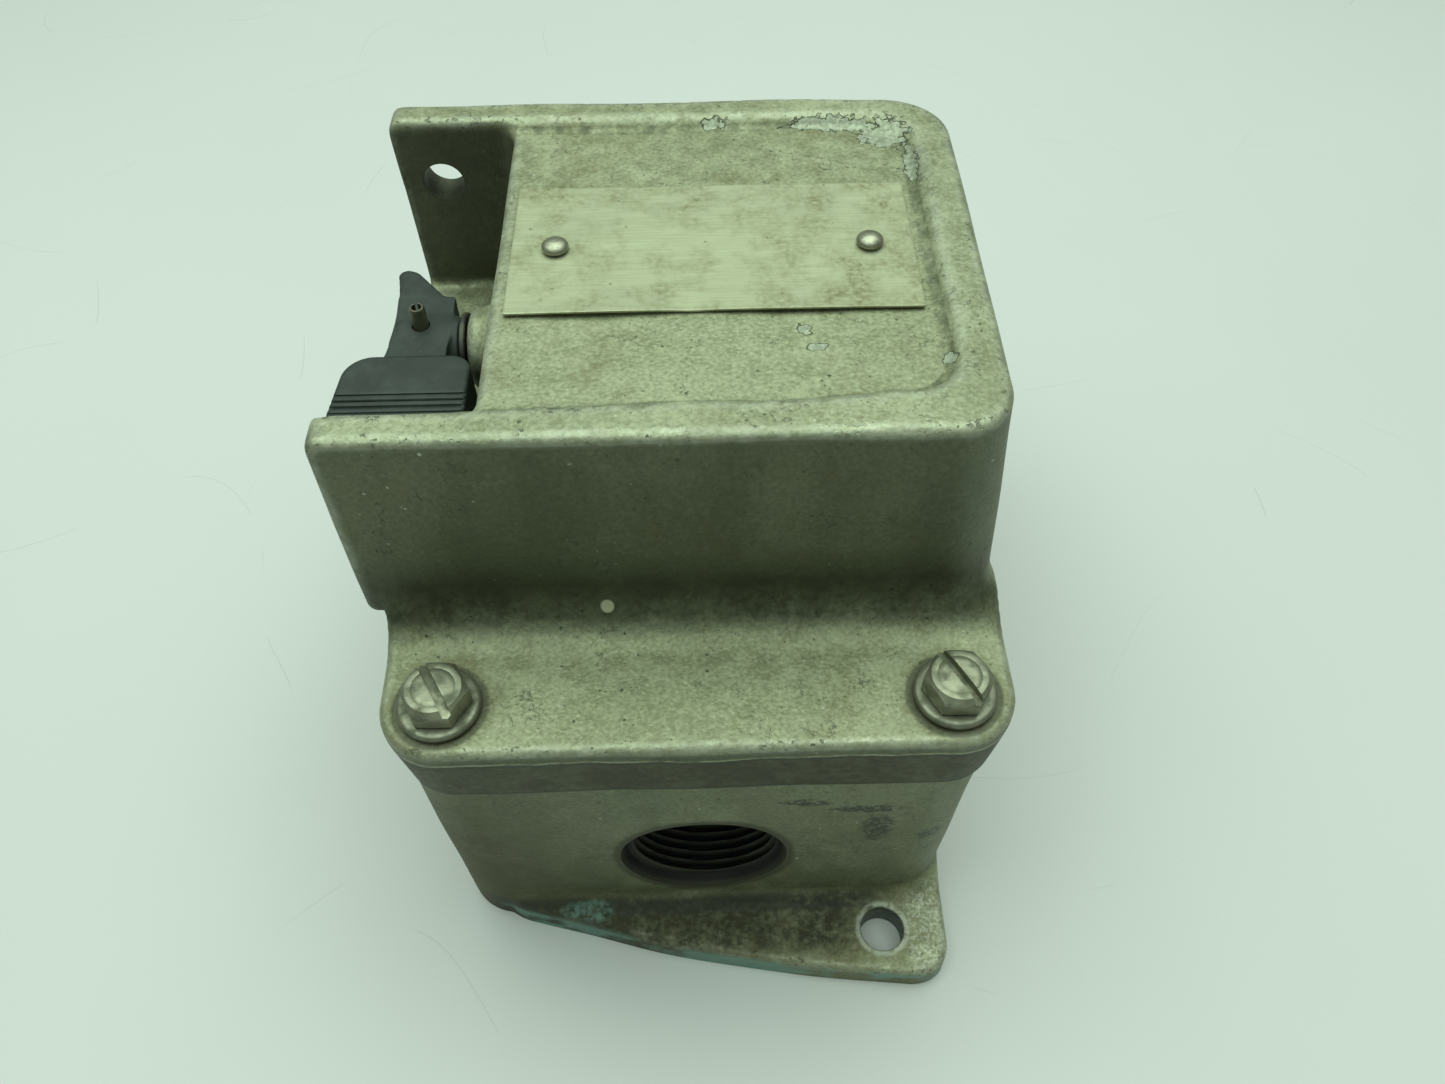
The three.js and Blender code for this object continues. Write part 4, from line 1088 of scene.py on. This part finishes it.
def make_cover_screw(corner):
    node = f"cover_screw_{corner}"
    low, high = mm_box(node)
    site = foot(node)
    seat = mm_box(f"cover_washer_{corner}")[1].z + 0.3
    hex_r = ACROSS_FLATS / 2 / math.cos(math.pi / 6)
    hexagon = spun(circle(hex_r, 6), SLOT_ANGLE[corner], site)
    head = extrude(hexagon, seat, high.z, node + "_fine")
    turned = lathe("tool", [
        (0, seat - 1), (hex_r - 0.2, seat - 1),
        (hex_r + 0.3, seat + 0.5), (hex_r + 0.3, high.z - 1.55),
        (HEAD_TOP_R + 0.35, high.z - 0.75), (HEAD_TOP_R - 0.1, high.z - 0.30),
        (HEAD_TOP_R - 0.9, high.z - 0.18), (HEAD_TOP_R - 1.2, high.z - 0.24),
        (HEAD_TOP_R - 1.5, high.z - 0.06), (HEAD_TOP_R - 2.3, high.z), (0, high.z),
    ], "z", site, 96)
    combine(head, [turned], "INTERSECT")
    half = SLOT_WIDTH / 2
    slot = spun([(-9, -half), (9, -half), (9, half), (-9, half)], SLOT_ANGLE[corner], site)
    combine(head, [extrude(slot, high.z - SLOT_DEPTH, high.z + 2)])
    soften(head, 0.16, 3, 28)
    count = int((seat - 2 - low.z) / SCREW_PITCH)
    threads = [(SHANK_R - 0.5 * (i % 2), low.z + 0.6 + i * SCREW_PITCH / 2)
               for i in range(count * 2 + 1)]
    shank = lathe("tool", [(0, low.z), (SHANK_R - 0.8, low.z), *threads,
                           (SHANK_R, seat - 1), (SHANK_R, seat + 0.4), (0, seat + 0.4)],
                  "z", site, 32)
    combine(head, [shank], "UNION")
    return head


def make_cover_washer(corner):
    node = f"cover_washer_{corner}"
    low, high = mm_box(node)
    outer, inner = (high.x - low.x) / 2, SHANK_R + 0.4
    ring = lathe(node + "_fine", [
        (inner, low.z), (outer - 0.25, low.z), (outer, low.z + 0.3), (outer, high.z - 0.55),
        (outer - 0.2, high.z - 0.22), (outer - 0.6, high.z - 0.04), (outer - 1.2, high.z),
        (inner + 0.3, high.z), (inner, high.z - 0.25),
    ], "z", foot(node), 72)
    return shade_round(ring, 50)


def make_rivet(side):
    node = f"nameplate_rivet_{side}"
    low, high = mm_box(node)
    seat, r = PLATE_HIGH.z + 0.25, (high.x - low.x) / 2
    rise = high.z - seat
    dome = [(r * math.cos(a), seat + 0.35 + (rise - 0.35) * math.sin(a))
            for a in (math.radians(6 * i) for i in range(15))]
    profile = [(0, low.z), (1.3, low.z), (1.3, seat), (r - 0.15, seat), (r, seat + 0.12), *dome,
               (0, high.z)]
    return shade_round(lathe(node + "_fine", profile, "z", foot(node), 48), 60)


# ---------------------------------------------------------------- nameplate


def make_nameplate():
    """Thin sheet, a little wavy, with its near edge bent up and nicked in the middle."""
    x0, x1, y0, y1 = PLATE_LOW.x, PLATE_HIGH.x, PLATE_LOW.y, PLATE_HIGH.y
    thickness = 0.42
    columns, rows = 150, 76
    wave = make_ripple(21, 26.0, 0.05)

    def lift(x, y):
        to_near = max(0.0, 1 - (y - y0) / 9.0)
        sag = 0.24 * to_near ** 2 * (1 - 0.5 * abs((x - x0) / (x1 - x0) - 0.45))
        dent = -0.20 * math.exp(-((x - 0.5) / 3.2) ** 2 - ((y - y0) / 3.0) ** 2)
        return sag + dent + float(wave(x, y, 0.0))

    points, faces = [], []
    for level in (0.0, thickness):
        for j in range(rows + 1):
            for i in range(columns + 1):
                x = x0 + (x1 - x0) * i / columns
                y = y0 + (y1 - y0) * j / rows
                z = PLATE_LOW.z + 0.08 + level + lift(x, y)
                z = min(max(z, PLATE_LOW.z + level), PLATE_HIGH.z - thickness + level)
                points.append((x * MM, y * MM, z * MM))
    across = columns + 1
    layer = across * (rows + 1)
    for j in range(rows):
        for i in range(columns):
            a = j * across + i
            faces.append([a, a + across, a + across + 1, a + 1])
            faces.append([layer + a, layer + a + 1, layer + a + across + 1, layer + a + across])
    rim = list(range(columns))
    rim += [j * across + columns for j in range(rows)]
    rim += [rows * across + i for i in range(columns, 0, -1)]
    rim += [j * across for j in range(rows, 0, -1)]
    for a, b in zip(rim, rim[1:] + rim[:1]):
        faces.append([a, b, b + layer, a + layer])
    return soften(object_from("nameplate_fine", points, faces), 0.07, 2, 50)


# ---------------------------------------------------------------- shaft end and plug

RING_HOLE_R, SOCKET_HALF, SOCKET_DEPTH = 4.1, 6.5, 8


def make_turned(node, edge):
    """A ring around the shaft as a smooth turned piece with broken outer edges."""
    low, high = mm_box(node)
    outer = (high.z - low.z) / 2
    profile = [(RING_HOLE_R, low.x), (outer - edge, low.x), (outer, low.x + edge),
               (outer, high.x - edge), (outer - edge, high.x), (RING_HOLE_R, high.x)]
    return shade_round(lathe(node + "_fine", profile, "x", (0, SHAFT_Y, SHAFT_Z)), 35)


def make_conduit_plug():
    """Recessed plug with a square socket and ridges for its thread."""
    low, high = mm_box("conduit_plug")
    r = (high.x - low.x) / 2
    count = int((high.y - low.y - 1.0) / THREAD_PITCH)
    profile = [(0, low.y), (r - 1.2, low.y)]
    for i in range(count):
        start = low.y + 0.5 + i * THREAD_PITCH
        profile += [(r - 1.0, start), (r, start + THREAD_PITCH * 0.4),
                    (r, start + THREAD_PITCH * 0.6)]
    profile += [(r - 1.0, high.y - 0.5), (r - 1.5, high.y), (0, high.y)]
    body = lathe("conduit_plug_fine", profile, "y", (0, 0, CONDUIT_Z), 72)
    combine(body, [box_tool(-SOCKET_HALF, SOCKET_HALF, high.y - SOCKET_DEPTH, high.y + 2,
                            CONDUIT_Z - SOCKET_HALF, CONDUIT_Z + SOCKET_HALF)])
    return soften(body, 0.25, 2, 40)


# ---------------------------------------------------------------- assembly

pieces = {
    "enclosure_cover": make_cover(),
    "enclosure_base": make_base(),
    "operating_lever": make_lever(),
    "lever_roll_pin": make_roll_pin(),
    "nameplate": make_nameplate(),
    "shaft_washer": make_turned("shaft_washer", 0.2),
    "shaft_bushing": make_turned("shaft_bushing", 0.4),
    "conduit_plug": make_conduit_plug(),
}
for side in ("left", "right"):
    pieces[f"nameplate_rivet_{side}"] = make_rivet(side)
for corner in SLOT_ANGLE:
    pieces[f"cover_screw_{corner}"] = make_cover_screw(corner)
    pieces[f"cover_washer_{corner}"] = make_cover_washer(corner)
for node, piece in pieces.items():
    finish = BASE_FINISH if node == "enclosure_base" else FINISHES[SLOT_OF[node]]
    stand_for(piece, node, finish)

# ---------------------------------------------------------------- stage

CAMERA_PLACE, LENS = (2.73, -178.6, 268.9), 28.66
YAW, PITCH, ROLL = math.radians(1.075), math.radians(51.84), math.radians(-0.469)
LIGHT_TINT, BACKDROP = (0.835, 1.0, 0.87), 0.5
SKY_RAMP = {"From Min": 0.15, "From Max": 0.9, "To Min": 0.10, "To Max": 0.55}


def floor_finish():
    """Pale painted board with hair-thin scratches and a few specks."""
    f = Finish("floor")
    color = f.mix(f.patches(0.3, 0.7, 300), BOARD_DARK, BOARD_LIGHT)
    hairs = 0.0
    for size, shift in ((120, 77), (190, 12), (240, 31)):
        line = f.math("ABSOLUTE", f.math("SUBTRACT", f.noise(size, 0.6, shift=shift), 0.5))
        rare = f.patches(0.56, 0.60, 34, 1, shift=shift + 5)
        hairs = f.most(f.times(f.fade(line, 0.12 / size, 0.06 / size), rare), hairs)
    color = f.mix(f.times(hairs, 0.22), color, BOARD_HAIR)
    specks = f.fade(f.cells(70, 9), 0.014, 0.010)
    color = f.mix(f.times(specks, 0.45), color, BOARD_SPECK)
    return f.finish(color, f.spread(f.noise(20, 3), 0.50, 0.62), 0.0)


def make_camera():
    """The photo's own camera, solved together with the part's sizes."""
    data = bpy.data.cameras.new("camera")
    data.sensor_width = 36
    data.lens = LENS
    camera = add_object("camera", data)
    camera.matrix_world = (
        Matrix.Translation(Vector(CAMERA_PLACE) * MM)
        @ Matrix.Rotation(-YAW, 4, "Z")
        @ Matrix.Rotation(math.pi / 2 - PITCH, 4, "X")
        @ Matrix.Rotation(ROLL, 4, "Z")
    )
    return camera


def make_world():
    """A sky that lights the part more from above, and a pale backdrop that only shows."""
    world = bpy.data.worlds.new("world")
    world.use_nodes = True
    sky = Nodes(world.node_tree)
    up = sky.node("SeparateXYZ", {0: sky.node("TexCoord")["Generated"]})["Z"]
    glow = sky.node("MapRange", {"Value": up, **SKY_RAMP})[0]
    seen = sky.node("LightPath")["Is Camera Ray"]
    strength = sky.node("Math", {0: seen, 1: BACKDROP, 2: glow}, operation="MULTIPLY_ADD")[0]
    background = sky.tree.nodes["Background"]
    sky.feed(background.inputs["Color"], LIGHT_TINT)
    sky.feed(background.inputs["Strength"], strength)
    return world


def softbox(name, place, size, energy):
    """A soft rectangular light aimed at the part, in metres and watts."""
    data = bpy.data.lights.new(name, "AREA")
    data.shape = "RECTANGLE"
    data.size, data.size_y = size
    data.energy = energy
    data.color = LIGHT_TINT
    light = add_object(name, data)
    light.location = place
    aim = Vector((0, 0, 0.06)) - light.location
    light.rotation_euler = aim.to_track_quat("-Z", "Y").to_euler()


floor = object_from("floor", [(-4, -4, 0), (4, -4, 0), (4, 4, 0), (-4, 4, 0)], [(0, 1, 2, 3)])
floor.data.materials.append(floor_finish())
bpy.context.scene.camera = make_camera()
bpy.context.scene.view_settings.view_transform = "Standard"
bpy.context.scene.world = make_world()
softbox("overhead", (-0.05, 0.18, 1.0), (1.2, 0.9), 8.3)
